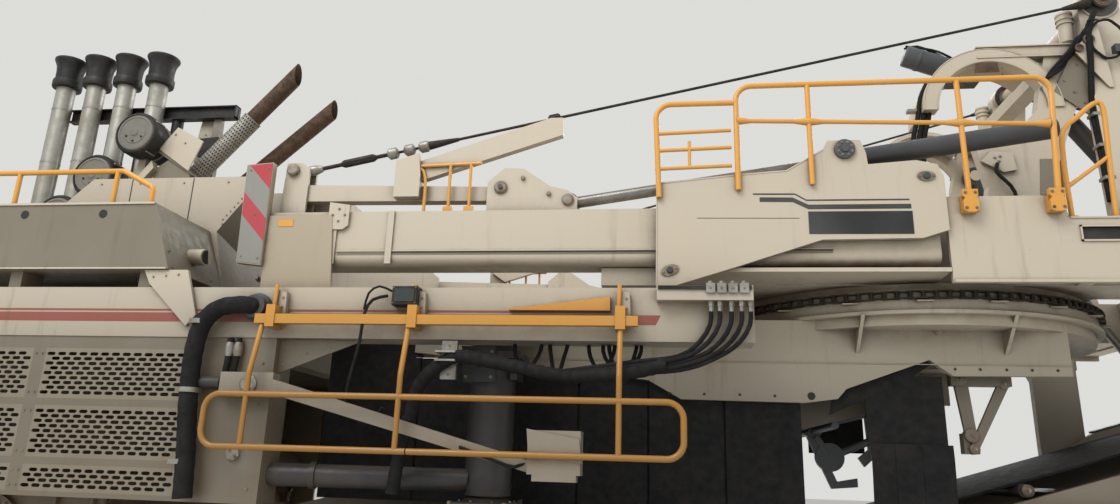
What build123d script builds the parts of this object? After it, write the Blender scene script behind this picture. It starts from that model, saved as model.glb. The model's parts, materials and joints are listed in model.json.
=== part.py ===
"""Surface miner: four-track mining machine with a cutting drum between the tracks and a slewing
discharge conveyor hung from a mast, balanced by two sliding counterweight girders.

Millimetres. +X is the rear (discharge end), -Y the machine's left side, +Z up. The origin is on the
ground under the middle of the machine's length and width.
"""
import os
from math import atan2, cos, degrees, hypot, pi, radians, sin, tan

from build123d import *

os.makedirs("parts", exist_ok=True)

# Stations along the machine
FRONT_X = -13900          # nose of the front platform
SLEW_X = 1450             # vertical slewing axis
DRUM_X = -7000            # cutting drum axis
FRONT_TRACK_X = -11400    # steering axis of the front tracks
REAR_TRACK_X = -2500      # steering axis of the rear tracks
TIP_X = 13990             # far end of the discharge conveyor, raised

# Running clearances
EYE_GAP = 0.3             # round pins, columns and rods in their bores
GAP = 5                   # beside moving pieces
SWEEP_GAP = 60            # under what slews

# Tracks
TRACK_Y = 2050            # steering axes from the centre plane
TRACK_LENGTH = 3700
TRACK_HEIGHT = 1240
TRACK_WIDTH = 600
SHOE_COUNT = 38           # grousers round one loop
SHOE_GROUSER = 55         # how far a grouser stands out of the shoe
SHOE_BAR = 90
TRACK_LINK = 60           # thickness of shoe and chain together
WHEEL_WIDTH = 300
ROLLER_COUNT = 6
ROLLER_R = 130
COLUMN_R = 155            # inner lifting column
SLEEVE_WALL = 45
COLUMN_FOOT_Z = 900       # top of the track's yoke
SLEEVE_FOOT_Z = 1420
SLEEVE_BORE_R = COLUMN_R + EYE_GAP
BRACE_R = 95              # level brace cylinders to the rear columns
BRACE_FRONT_Y = 2400
BRACE_REAR_Y = 2120
BRACE_Z = 1540

# Main frame
BEAM_Y = 2600             # outer face of the outer beams
BEAM_WIDTH = 300
BEAM_TOP = 3115
BEAM_FOOT = 2670
BEAM_REAR_X = -275
BEAM_FRONT_X = -13700
CHASSIS_Y = 1500          # inner face of the chassis side plates
CHASSIS_WALL = 60
DECK_WALL = 90
CHASSIS_REAR_X = 2540
RING_TOP = 3270
RING_FOOT = 3050
RING_R = 1930
RING_HOLE_R = 1330
RING_LIP = 35             # the lower flange stands out of the ring
CHAIN_R = 1990            # outside of the slewing chain
CHAIN_HEIGHT = 70
CHAIN_LINKS = 72
TOW_EYE_X = -13810
TOW_EYE_Y = 900
TOW_EYE_Z = 2890
TOW_EYE_R = 45
TOW_EYE_LIP = 105
TOW_EYE_WIDTH = 60
ENGINE_BEARER_Y = 560
ENGINE_FOOT = BEAM_TOP + 40

# Cutting drum
DRUM_R = 760              # drum body
PICK_REACH = 170          # pick tip over the drum body
DRUM_WIDTH = 4180
DRUM_LIFT = 60            # pick tips over the ground when parked
PICK_ROWS = 26            # along the drum
PICK_STARTS = 3           # picks in each row
DRUM_AXLE_R = 180
HOUSING_WALL = 40
HOUSING_GAP = 70
HOUSE_R = DRUM_R + PICK_REACH + HOUSING_GAP
HOUSE_Y = DRUM_WIDTH / 2 + HOUSING_GAP

# Upper structure
WALL_Y = 2250             # outer face of the side walls
WALL = 45
SUPER_FOOT = 3250         # lower edge of the side walls
SUPER_TOP = 4000
SUPER_STEP_X = 2340
SUPER_LOW_TOP = 3810
SUPER_REAR_X = 4700
DECK_FOOT = 3330          # underside of the middle box
DECK_TOP = 3900
INNER_Y = 1780            # inner wall beside a girder
MIDDLE_REAR_X = 2960
CHEEK_INNER_Y = 1230       # inner face of the rear cheeks
SLEEVE_Y = 2300           # outer face of the sleeve plate
SLEEVE_FRONT_X = -1060
SLEEVE_REAR_X = 1385

# Counterweight girders
GIRDER_Y = 2015           # middle of a girder
GIRDER_WIDTH = 380
GIRDER_TOP = 3940
GIRDER_FOOT = 3420
PAD = 20                  # height of the slide pads
GIRDER_FRONT_X = -4780
GIRDER_REAR_X = 1335
COUNTER_FRONT_X = -4960
COUNTER_REAR_X = -4230
COUNTER_Y = 2240
COUNTER_TOP = 4280
COUNTER_FOOT = 3180

# Links of the conveyor's suspension, side view (X, Z)
LUFF_PIN = (1750, 1280)
LUFF_PIN_R = 90
CONVEYOR_SLOPE = 17.0
MAST_PIN = (3330, 4040)
MAST_PIN_Y = 1450
MAST_PIN_R = 70
MAST_FOOT_R = 135         # eye at the foot of a mast leg
MAST_EAR_GAP = 145        # from the middle of a leg to its ears
MAST_EAR = 50
MAST_HEAD = (3480, 6480)
MAST_HEAD_Y = 1085
MAST_HEAD_R = 190
MAST_HEAD_HALF = 115      # half the length of a head boss
MAST_LEG = (400, 160)     # along the machine, across it
HEAD_TUBE_R = 110
REAR_EYE_PLAY = 32        # the rear stays' open eyes drift round the head tube as the boom moves
STAY_FOOT = (-4600, 4410)
REAR_STAY_RUN = 9900      # along the conveyor from its pivot to the stays' lugs
REAR_STAY_RISE = 480
STAY_R = 14
COUNTER_EYE = (-1870, 4060)
COUNTER_TRUNNION = (580, 4430)
COUNTER_BARREL_END = (2440, 4720)
LUFF_TOP = (2950, 5420)
LUFF_TOP_R = 70
LUFF_EYE_RUN = 3300       # along the conveyor from its pivot to the luffing rods' eyes
LUFF_EYE_RISE = 330
LUFF_EYE_R = 70           # open eye round the conveyor's pin
COUNTER_EYE_R = 68        # open eye round the rocker's pin, which drifts over the travel
COUNTER_EYE_LIP = 95
LUFF_CYLINDER_Y = 1055
LUFF_BARREL_R = 88
LUFF_ROD_R = 50
COUNTER_BARREL_R = 92
COUNTER_ROD_R = 55
PIN_R = 40

# Discharge conveyor, along and above its own pivot line
BELT_WIDTH = 1750
FRAME_Y = 1000            # outer face of its side frames
FRAME_WALL = 60
FRAME_DEPTH = 230         # below the pivot line
FRAME_RISE = 300          # above the pivot line
TAIL_RISE = 70            # the same under the chute
TAIL_RUN = -480
PULLEY_R = 210
BELT_THICK = 22
IDLER_R = 60

# Hanging legs that carry the conveyor's pivot
LEG_FRONT_X = 3360
LEG_REAR_X = 3860
LEG_INNER_Y = 1110
LEG_OUTER_Y = 1200
CRADLE_TOP = 1440
CRADLE_FOOT = 1120

# Hood, side decks, side walls
HOOD_REAR_X = -5250
HOOD_FRONT_X = -9950
HOOD_Y = 1750
HOOD_TOP = 4500
HOOD_WALL = 30
TRAY_Y = 2660
TRAY_TOP = 3900
TRAY_FOOT = 3270
TRAY_REAR_X = -5380
TRAY_FRONT_X = -10500
SIDE_WALL_FRONT_X = -8650
SIDE_WALL_REAR_X = -4300
SIDE_WALL_FOOT = 1300
GRILLE_X = -5050
GRILLE_LENGTH = 1420
GRILLE_HEIGHT = 440
GRILLE_PITCH_X = 1540
GRILLE_PITCH_Z = 500
GRILLE_TOP = 2560
GRILLE_THICK = 12
GRILLE_ROWS = 3
GRILLE_COLUMNS = 9
GRILLE_BAR = 34           # bars between a grille's openings

# Air intakes, filters and exhausts
STACK_R = 122
STACK_FOOT = HOOD_TOP
STACK_TOP = 6650
CAP_TOP = 6970
CAP_R = 210
FILTER_R = 285
FILTER_FACE_Y = -640
FILTER_BACK_Y = -STACK_R - 15
EXHAUST_R = 105
EXHAUST_WALL = 12

# Handrails
RAIL_R = 25
POST_R = 23
KNEE_R = 20
RAIL_BEND = 140
GUARD_FRONT_X = -4730     # folding guard rails beside the tracks
GUARD_REAR_X = -850
GUARD_TOP = 2170
GUARD_FOOT = 1750
LADDER_X = -12265         # middle of the ladder up to the platform
LADDER_HALF = 230
LADDER_FOOT = 650
LADDER_RUNGS = 9

# Cab
CAB_FRONT_X = -13600
CAB_REAR_X = -11700
CAB_OUTER_Y = 2560
CAB_INNER_Y = 900
CAB_TOP = 5250
CAB_WALL = 60
GLASS = 12
DOOR_GAP = 6
HINGE_R = 12
HINGE_OUT = 15            # hinge line outside the door's face


def prism(plane, outline, depth, mode=Mode.ADD):
    """Extrude a closed outline from a plane."""
    with BuildSketch(plane) as face:
        with BuildLine():
            Polyline(*outline, close=True)
        make_face()
    extrude(face.sketch, amount=depth, mode=mode)


def side_prism(outline, inner, outer, mode=Mode.ADD):
    """A plate in the left side's planes, from Y = -inner outwards to Y = -outer."""
    prism(Plane.XZ.offset(inner), outline, outer - inner, mode)


def block(x_span, y_span, z_span, mode=Mode.ADD):
    """A box between two corners."""
    middle = [(span[0] + span[1]) / 2 for span in (x_span, y_span, z_span)]
    with Locations(Vector(*middle)):
        Box(x_span[1] - x_span[0], y_span[1] - y_span[0], z_span[1] - z_span[0], mode=mode)


def tube(points, radius, bend=0.0):
    """A round bar along straight runs with equal bends."""
    with BuildLine() as run:
        if bend:
            FilletPolyline(*points, radius=bend)
        else:
            Polyline(*points)
    with BuildSketch(Plane(origin=run.line @ 0, z_dir=run.line % 0)) as ring:
        Circle(radius)
    sweep(ring.sketch, path=run.line)


def rod_along(start, end, radius, mode=Mode.ADD):
    """A round bar from one point to another."""
    start = Vector(*start)
    along = Vector(*end) - start
    with BuildSketch(Plane(origin=start, z_dir=along)) as ring:
        Circle(radius)
    extrude(ring.sketch, amount=along.length, mode=mode)


def cross_pin(x, z, y_from, y_to, radius, mode=Mode.ADD):
    """A pin or bore along Y."""
    with BuildSketch(Plane.XZ.offset(-y_from)) as ring:
        with Locations((x, z)):
            Circle(radius)
    extrude(ring.sketch, amount=-(y_to - y_from), mode=mode)


def publish(part, label):
    """Name a finished piece and write it out."""
    part.label = label
    export_step(part, f"parts/{label}.step")


def conveyor_point(run, rise):
    """A point on the discharge conveyor's side view, from along and above its pivot line."""
    slope = radians(CONVEYOR_SLOPE)
    x = LUFF_PIN[0] + run * cos(slope) - rise * sin(slope)
    z = LUFF_PIN[1] + run * sin(slope) + rise * cos(slope)
    return (x, z)


REAR_STAY_EYE = conveyor_point(REAR_STAY_RUN, REAR_STAY_RISE)
LUFF_EYE = conveyor_point(LUFF_EYE_RUN, LUFF_EYE_RISE)

# Main frame: outer beams, chassis with the slewing ring's seat, cross members
CHASSIS_OUTLINE = [
    (-3400, BEAM_FOOT + 40), (-1140, 2480), (-840, 2310), (260, 2300), (550, 2340), (630, 2430),
    (1360, 2700), (1550, 2560), (CHASSIS_REAR_X, 2570), (CHASSIS_REAR_X, RING_FOOT),
    (-3400, RING_FOOT),
]
CROSS_MEMBERS = [  # X front, X rear, Z foot, Z top
    (-13700, -13400, BEAM_FOOT, BEAM_TOP),
    (FRONT_TRACK_X - 330, FRONT_TRACK_X + 330, 2720, BEAM_TOP - 30),
    (-9700, -9450, BEAM_FOOT, BEAM_TOP),
    (-5500, -5250, BEAM_FOOT + 60, BEAM_TOP),
    (REAR_TRACK_X - 330, REAR_TRACK_X + 330, 2830, BEAM_TOP - 30),
]
with BuildPart() as main_frame:
    block((BEAM_FRONT_X, BEAM_REAR_X), (-BEAM_Y, -BEAM_Y + BEAM_WIDTH), (BEAM_FOOT, BEAM_TOP))
    side_prism(CHASSIS_OUTLINE, CHASSIS_Y, CHASSIS_Y + CHASSIS_WALL)
    for gusset_x in (730, 2000):
        gusset = [(CHASSIS_Y, RING_FOOT), (RING_R - 60, RING_FOOT), (CHASSIS_Y, 2690)]
        prism(Plane.YZ.offset(gusset_x), [(-y, z) for y, z in gusset], 30)
    mirror(about=Plane.XZ)
    for front, rear, foot, top in CROSS_MEMBERS:
        block((front, rear), (-BEAM_Y + BEAM_WIDTH, BEAM_Y - BEAM_WIDTH), (foot, top))
    deck_y = CHASSIS_Y + CHASSIS_WALL
    block((-3400, CHASSIS_REAR_X), (-deck_y, deck_y), (RING_FOOT - DECK_WALL, RING_FOOT))
    with Locations((SLEW_X, 0, RING_FOOT)):
        Cylinder(RING_R - 40, DECK_WALL, align=(Align.CENTER, Align.CENTER, Align.MAX))
        Cylinder(RING_HOLE_R, 4 * DECK_WALL, mode=Mode.SUBTRACT)
    for track_x in (FRONT_TRACK_X, REAR_TRACK_X):
        with Locations((track_x, -TRACK_Y, BEAM_TOP), (track_x, TRACK_Y, BEAM_TOP)):
            Cylinder(SLEEVE_BORE_R + SLEEVE_WALL, 1000, mode=Mode.SUBTRACT)
    for bearer_y in (-ENGINE_BEARER_Y, ENGINE_BEARER_Y):
        block((-9450, -5500), (bearer_y - 70, bearer_y + 70), (BEAM_FOOT + 120, ENGINE_FOOT - EYE_GAP))
    for eye_y in (-TOW_EYE_Y, TOW_EYE_Y):
        block((TOW_EYE_X - TOW_EYE_LIP, BEAM_FRONT_X + 20),
              (eye_y - TOW_EYE_WIDTH / 2, eye_y + TOW_EYE_WIDTH / 2), (TOW_EYE_Z - 130, TOW_EYE_Z + 130))
        cross_pin(TOW_EYE_X, TOW_EYE_Z, eye_y - TOW_EYE_WIDTH, eye_y + TOW_EYE_WIDTH, TOW_EYE_R,
                  mode=Mode.SUBTRACT)
publish(main_frame.part, "main_frame")

# Slewing ring seat with its lower lip, and the chain round it
with BuildPart() as slew_ring:
    with Locations((SLEW_X, 0, RING_FOOT)):
        Cylinder(RING_R, RING_TOP - RING_FOOT, align=(Align.CENTER, Align.CENTER, Align.MIN))
        Cylinder(RING_R + RING_LIP, 30, align=(Align.CENTER, Align.CENTER, Align.MIN))
        Cylinder(RING_HOLE_R, 4 * RING_TOP, mode=Mode.SUBTRACT)
publish(slew_ring.part, "slew_ring")

CHAIN_PLATE = 2 * pi * CHAIN_R / CHAIN_LINKS
with BuildPart() as slew_chain:
    with Locations((SLEW_X, 0, RING_TOP - 25)):
        Cylinder(CHAIN_R - 22, CHAIN_HEIGHT - 24, align=(Align.CENTER, Align.CENTER, Align.MAX))
        with PolarLocations(CHAIN_R - 22, CHAIN_LINKS):
            Box(40, CHAIN_PLATE * 0.62, CHAIN_HEIGHT, align=(Align.CENTER, Align.CENTER, Align.MAX))
        Cylinder(RING_R + 0.3, 4 * RING_TOP, mode=Mode.SUBTRACT)
publish(slew_chain.part, "slew_chain")

# Sleeves of the four lifting columns, the rear ones braced level to the cooler walls
with BuildPart() as lift_columns:
    for track_x in (FRONT_TRACK_X, REAR_TRACK_X):
        with Locations((track_x, -TRACK_Y, SLEEVE_FOOT_Z)):
            Cylinder(SLEEVE_BORE_R + SLEEVE_WALL, BEAM_TOP - SLEEVE_FOOT_Z - 20,
                     align=(Align.CENTER, Align.CENTER, Align.MIN))
        with Locations((track_x, -TRACK_Y, 2600)):
            Box(560, 440, 60)
        for rib in (-210, 210):
            with Locations((track_x + rib, -TRACK_Y, 2480)):
                Box(60, 300, 180)
    brace_front = Vector(SIDE_WALL_REAR_X, -BRACE_FRONT_Y, BRACE_Z)
    brace_line = Vector(REAR_TRACK_X - SLEEVE_BORE_R, -BRACE_REAR_Y, BRACE_Z) - brace_front
    rod_along(brace_front - brace_line * 0.05, brace_front + brace_line, BRACE_R)
    rod_along(brace_front + brace_line * 0.2, brace_front + brace_line * 0.23, BRACE_R + 16)
    block((SIDE_WALL_REAR_X - 400, SIDE_WALL_REAR_X + EYE_GAP), (-BEAM_Y, -CHASSIS_Y),
          (BRACE_Z - 2 * BRACE_R, BRACE_Z + 2 * BRACE_R), mode=Mode.SUBTRACT)
    with Locations((FRONT_TRACK_X, -TRACK_Y, SLEEVE_FOOT_Z), (REAR_TRACK_X, -TRACK_Y, SLEEVE_FOOT_Z)):
        Cylinder(SLEEVE_BORE_R, 1300, align=(Align.CENTER, Align.CENTER, Align.MIN), mode=Mode.SUBTRACT)
    mirror(about=Plane.XZ)
publish(lift_columns.part, "lift_columns")

# One track, centred on its steering axis
TRACK_R = TRACK_HEIGHT / 2 - SHOE_GROUSER
STRAIGHT = TRACK_LENGTH - TRACK_HEIGHT
LOOP_LENGTH = 2 * STRAIGHT + 2 * pi * TRACK_R
AXLE_Z = TRACK_HEIGHT / 2


def loop_location(distance):
    """Where a grouser sits on the track loop, turned square to it."""
    arc = pi * TRACK_R
    if distance < STRAIGHT:
        return Location((distance - STRAIGHT / 2, 0, AXLE_Z + TRACK_R), (0, 0, 0))
    if distance < STRAIGHT + arc:
        turn = degrees((distance - STRAIGHT) / TRACK_R)
        x = STRAIGHT / 2 + TRACK_R * sin(radians(turn))
        return Location((x, 0, AXLE_Z + TRACK_R * cos(radians(turn))), (0, turn, 0))
    if distance < 2 * STRAIGHT + arc:
        return Location((STRAIGHT * 1.5 + arc - distance, 0, AXLE_Z - TRACK_R), (0, 180, 0))
    turn = 180 + degrees((distance - 2 * STRAIGHT - arc) / TRACK_R)
    x = -STRAIGHT / 2 + TRACK_R * sin(radians(turn))
    return Location((x, 0, AXLE_Z + TRACK_R * cos(radians(turn))), (0, turn, 0))


with BuildPart() as track_loop:
    with BuildSketch(Plane.XZ) as band:
        with Locations((0, AXLE_Z)):
            SlotCenterToCenter(STRAIGHT, 2 * TRACK_R)
            SlotCenterToCenter(STRAIGHT, 2 * (TRACK_R - TRACK_LINK), mode=Mode.SUBTRACT)
    extrude(amount=TRACK_WIDTH / 2, both=True)
    with Locations(*[loop_location((i + 0.5) * LOOP_LENGTH / SHOE_COUNT) for i in range(SHOE_COUNT)]):
        Box(SHOE_BAR, TRACK_WIDTH - 20, 2 * SHOE_GROUSER)

WHEEL_R = TRACK_R - TRACK_LINK - EYE_GAP
with BuildPart() as crawler:
    with BuildSketch(Plane.XZ) as side_beam:
        with Locations((0, AXLE_Z - 20)):
            SlotCenterToCenter(STRAIGHT, 460)
    extrude(amount=WHEEL_WIDTH / 2 + 60, both=True)
    for wheel_x in (-STRAIGHT / 2, STRAIGHT / 2):
        cross_pin(wheel_x, AXLE_Z, -WHEEL_WIDTH / 2, WHEEL_WIDTH / 2, WHEEL_R)
        cross_pin(wheel_x, AXLE_Z, -WHEEL_WIDTH / 2 - 110, WHEEL_WIDTH / 2 + 110, 150)
    for i in range(ROLLER_COUNT):
        roller_x = (i - (ROLLER_COUNT - 1) / 2) * STRAIGHT / ROLLER_COUNT
        cross_pin(roller_x, AXLE_Z - WHEEL_R + ROLLER_R, -WHEEL_WIDTH / 2, WHEEL_WIDTH / 2, ROLLER_R)
    cross_pin(0, AXLE_Z, -TRACK_WIDTH / 2 - 110, TRACK_WIDTH / 2 + 110, 110)
    for cheek in (-1, 1):
        cheek_y = cheek * (TRACK_WIDTH / 2 + 70)
        prism(Plane.XZ.offset(-cheek_y + 30), [
            (-170, AXLE_Z - 150), (170, AXLE_Z - 150), (220, TRACK_HEIGHT + 130),
            (-220, TRACK_HEIGHT + 130)], -60)
    block((-240, 240), (-TRACK_WIDTH / 2 - 100, TRACK_WIDTH / 2 + 100),
          (TRACK_HEIGHT + 20, TRACK_HEIGHT + 130))
    with Locations((0, 0, TRACK_HEIGHT + 100)):
        Cylinder(COLUMN_R, 1150, align=(Align.CENTER, Align.CENTER, Align.MIN))

TRACK_PLACES = [  # name, X, Y
    ("front_left", FRONT_TRACK_X, -TRACK_Y), ("front_right", FRONT_TRACK_X, TRACK_Y),
    ("rear_left", REAR_TRACK_X, -TRACK_Y), ("rear_right", REAR_TRACK_X, TRACK_Y),
]
for name, track_x, track_y in TRACK_PLACES:
    publish(track_loop.part.moved(Location((track_x, track_y, 0))), f"track_{name}")
    publish(crawler.part.moved(Location((track_x, track_y, 0))), f"crawler_{name}")

# Cutting drum: body, helical rows of picks, each a holder with a round pick
DRUM_Z = DRUM_R + PICK_REACH + DRUM_LIFT
with BuildPart() as cutting_drum:
    with BuildSketch(Plane.XZ.offset(-DRUM_WIDTH / 2)) as drum_face:
        with Locations((DRUM_X, DRUM_Z)):
            Circle(DRUM_R)
    extrude(amount=DRUM_WIDTH)
    for row in range(PICK_ROWS):
        row_y = (row + 0.5 - PICK_ROWS / 2) * DRUM_WIDTH / PICK_ROWS
        lead = 360 / PICK_STARTS * abs(row_y) / 700
        for start in range(PICK_STARTS):
            turn = lead + start * 360 / PICK_STARTS
            with Locations(Location((DRUM_X, row_y, DRUM_Z), (0, turn, 0))):
                with Locations((0, 0, DRUM_R + 45)):
                    Box(130, 80, 110)
                with Locations(Location((-30, 0, DRUM_R + 95), (0, -40, 0))):
                    Cone(38, 8, 98, align=(Align.CENTER, Align.CENTER, Align.MIN))
    axle_end = HOUSE_Y + HOUSING_WALL - EYE_GAP
    cross_pin(DRUM_X, DRUM_Z, -axle_end, axle_end, DRUM_AXLE_R)
publish(cutting_drum.part, "cutting_drum")

# Housing over the drum, open below and at the rear for the conveyor
with BuildPart() as drum_housing:
    side_prism([
        (DRUM_X - HOUSE_R - 150, 250), (DRUM_X + 620, 250), (DRUM_X + HOUSE_R + 60, 900),
        (DRUM_X + HOUSE_R + 60, BEAM_FOOT), (DRUM_X - HOUSE_R - 150, BEAM_FOOT)],
        HOUSE_Y, HOUSE_Y + HOUSING_WALL)
    cross_pin(DRUM_X, DRUM_Z, -HOUSE_Y - HOUSING_WALL, -HOUSE_Y, DRUM_AXLE_R + EYE_GAP, mode=Mode.SUBTRACT)
    cross_pin(DRUM_X, DRUM_Z, -HOUSE_Y - HOUSING_WALL - 50, -HOUSE_Y - HOUSING_WALL, 300)
    mirror(about=Plane.XZ)
    with BuildSketch(Plane.XZ.offset(-HOUSE_Y)) as hood_arc:
        with Locations((DRUM_X, DRUM_Z)):
            Circle(HOUSE_R + HOUSING_WALL)
            Circle(HOUSE_R, mode=Mode.SUBTRACT)
        with Locations((DRUM_X + 1000, DRUM_Z - 690)):
            Rectangle(4000, 1200, mode=Mode.SUBTRACT)
        with Locations((DRUM_X + 1000, DRUM_Z)):
            Rectangle(1500, 900, mode=Mode.SUBTRACT)
    extrude(amount=2 * HOUSE_Y)
    block((DRUM_X - 500, DRUM_X - 420), (-HOUSE_Y, HOUSE_Y), (DRUM_Z + 980, BEAM_FOOT))
    block((DRUM_X + 420, DRUM_X + 500), (-HOUSE_Y, HOUSE_Y), (DRUM_Z + 980, BEAM_FOOT))
publish(drum_housing.part, "drum_housing")

# Primary conveyor from the drum up to the slewing axis
PRIMARY_FOOT = (-5650, 700)
PRIMARY_HEAD = (1050, 2440)
PRIMARY_Y = 1080
PRIMARY_TURN = degrees(atan2(PRIMARY_HEAD[1] - PRIMARY_FOOT[1], PRIMARY_HEAD[0] - PRIMARY_FOOT[0]))
PRIMARY_RUN = hypot(PRIMARY_HEAD[0] - PRIMARY_FOOT[0], PRIMARY_HEAD[1] - PRIMARY_FOOT[1])
primary_plane = Plane(origin=(PRIMARY_FOOT[0], 0, PRIMARY_FOOT[1]),
                      x_dir=(cos(radians(PRIMARY_TURN)), 0, sin(radians(PRIMARY_TURN))),
                      z_dir=(0, -1, 0))
with BuildPart() as primary_conveyor:
    with BuildSketch(primary_plane.offset(PRIMARY_Y - FRAME_WALL)) as primary_side:
        with Locations((PRIMARY_RUN / 2, 60)):
            Rectangle(PRIMARY_RUN + 200, 420)
    extrude(amount=FRAME_WALL)
    mirror(about=Plane.XZ)
    for i in range(5):
        with BuildSketch(primary_plane.offset(-PRIMARY_Y + FRAME_WALL)) as tie:
            with Locations((PRIMARY_RUN * (i + 0.5) / 5, 0)):
                Rectangle(120, 90)
        extrude(amount=2 * (PRIMARY_Y - FRAME_WALL))
publish(primary_conveyor.part, "primary_conveyor")

with BuildPart() as primary_belt:
    with BuildSketch(primary_plane.offset(-BELT_WIDTH / 2)) as primary_loop:
        with Locations((PRIMARY_RUN / 2, 0)):
            SlotCenterToCenter(PRIMARY_RUN, 280)
            SlotCenterToCenter(PRIMARY_RUN, 280 - 2 * BELT_THICK, mode=Mode.SUBTRACT)
    extrude(amount=BELT_WIDTH)
publish(primary_belt.part, "primary_belt")

# Rubber skirts hanging beside the primary conveyor, and the flap under its head
SKIRT_THICK = 22
SKIRT_FOOT = 1330
TAIL_FLAP_FOOT = 1950     # over the discharge belt's tail, which slews under this flap
SKIRTS = [
    [(-3350, SKIRT_FOOT), (-1800, SKIRT_FOOT), (-1800, 2660), (-3350, 2660)],
    [(-1780, SKIRT_FOOT), (-1150, SKIRT_FOOT), (-1150, 2530), (-1780, 2600)],
    [(-1130, SKIRT_FOOT), (-460, SKIRT_FOOT), (-460, 2390), (-1130, 2490)],
    [(-440, SKIRT_FOOT), (230, SKIRT_FOOT), (230, 2390), (-440, 2390)],
    [(480, 2200), (800, 2350), (800, TAIL_FLAP_FOOT), (1230, TAIL_FLAP_FOOT), (1230, 2560), (1440, 2700),
     (1440, 2780), (1300, 2740), (630, 2480), (520, 2380)],
]
with BuildPart() as rubber_skirts:
    for outline in SKIRTS:
        side_prism(outline, CHASSIS_Y - SKIRT_THICK, CHASSIS_Y)
    mirror(about=Plane.XZ)
publish(rubber_skirts.part, "rubber_skirts")

# Engine: one block at its real place, under a hood that slants away from the counterweight
with BuildPart() as engine_block:
    block((-8900, -6000), (-800, 800), (ENGINE_FOOT, 4250))
publish(engine_block.part, "engine_block")

HOOD_BEVEL = 220
with BuildPart() as engine_hood:
    hood_plan = [(HOOD_FRONT_X, -HOOD_Y), (HOOD_REAR_X, -HOOD_Y), (HOOD_REAR_X - HOOD_BEVEL, -950),
                 (HOOD_REAR_X - HOOD_BEVEL, 950), (HOOD_REAR_X, HOOD_Y), (HOOD_FRONT_X, HOOD_Y)]
    prism(Plane.XY.offset(BEAM_TOP), hood_plan, HOOD_TOP - BEAM_TOP)
    block((HOOD_FRONT_X + HOOD_WALL, HOOD_REAR_X - HOOD_BEVEL - HOOD_WALL),
          (-HOOD_Y + HOOD_WALL, HOOD_Y - HOOD_WALL), (BEAM_TOP - 10, HOOD_TOP - HOOD_WALL),
          mode=Mode.SUBTRACT)
    side_prism([(HOOD_REAR_X + 10, 4300), (HOOD_REAR_X + 10, BEAM_TOP - 10),
                (HOOD_REAR_X - 100, BEAM_TOP - 10), (HOOD_REAR_X - 300, 3900)],
               -HOOD_Y - 10, HOOD_Y + 10, mode=Mode.SUBTRACT)
publish(engine_hood.part, "engine_hood")

# Deep side decks along the hood
with BuildPart() as side_decks:
    deck_side = [(TRAY_FRONT_X, TRAY_FOOT), (TRAY_REAR_X, TRAY_FOOT), (TRAY_REAR_X - 240, TRAY_TOP),
                 (TRAY_FRONT_X, TRAY_TOP)]
    side_prism(deck_side, HOOD_Y + 5, TRAY_Y)
    block((TRAY_FRONT_X + 30, TRAY_REAR_X - 330), (-TRAY_Y + 30, -HOOD_Y - 35),
          (TRAY_TOP - 260, TRAY_TOP + 10), mode=Mode.SUBTRACT)
    for post_x in (-10200, -8600, -7000, -5700):
        block((post_x, post_x + 120), (-BEAM_Y + 20, -BEAM_Y + 280), (BEAM_TOP, TRAY_FOOT + 5))
    mirror(about=Plane.XZ)
publish(side_decks.part, "side_decks")

# Side walls that hold the coolers, and their grilles
with BuildPart() as cooler_walls:
    block((SIDE_WALL_FRONT_X, SIDE_WALL_REAR_X), (-BEAM_Y + 10, -2280), (SIDE_WALL_FOOT, BEAM_FOOT))
    for column in range(3):
        left = GRILLE_X - column * GRILLE_PITCH_X - GRILLE_LENGTH
        for tier in range(3):
            top = GRILLE_TOP - tier * GRILLE_PITCH_Z
            foot = max(top - GRILLE_HEIGHT, SIDE_WALL_FOOT + 40)
            if top - foot > 150 and left > SIDE_WALL_FRONT_X - 1000:
                block((max(left, SIDE_WALL_FRONT_X + 60), left + GRILLE_LENGTH),
                      (-BEAM_Y, -BEAM_Y + 160), (foot, top), mode=Mode.SUBTRACT)
    mirror(about=Plane.XZ)
publish(cooler_walls.part, "cooler_walls")

with BuildPart() as cooler_grilles:
    for column in range(3):
        left = max(GRILLE_X - column * GRILLE_PITCH_X - GRILLE_LENGTH, SIDE_WALL_FRONT_X + 60)
        right = GRILLE_X - column * GRILLE_PITCH_X
        for tier in range(3):
            top = GRILLE_TOP - tier * GRILLE_PITCH_Z
            foot = max(top - GRILLE_HEIGHT, SIDE_WALL_FOOT + 40)
            if top - foot > 150 and right - left > 150:
                face_y = BEAM_Y - 12
                block((left, right), (-face_y, -face_y + GRILLE_THICK), (foot, top))
                cell_x = (right - left - GRILLE_BAR) / GRILLE_COLUMNS
                cell_z = (top - foot - GRILLE_BAR) / GRILLE_ROWS
                with BuildSketch(Plane.XZ.offset(face_y)) as openings:
                    with Locations(((left + right) / 2, (foot + top) / 2)):
                        with GridLocations(cell_x, cell_z, GRILLE_COLUMNS, GRILLE_ROWS):
                            Rectangle(cell_x - GRILLE_BAR, cell_z - GRILLE_BAR)
                extrude(openings.sketch, amount=-GRILLE_THICK, mode=Mode.SUBTRACT)
    mirror(about=Plane.XZ)
publish(cooler_grilles.part, "cooler_grilles")

# Air intakes: four stacks with flared caps, round filter housings beside them
INTAKE_XS = (-9240, -8780, -8320, -7840)
with BuildPart() as air_intakes:
    for stack_x in INTAKE_XS:
        with Locations((stack_x, 0, STACK_FOOT)):
            Cylinder(STACK_R, STACK_TOP - STACK_FOOT, align=(Align.CENTER, Align.CENTER, Align.MIN))
publish(air_intakes.part, "air_intakes")

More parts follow.
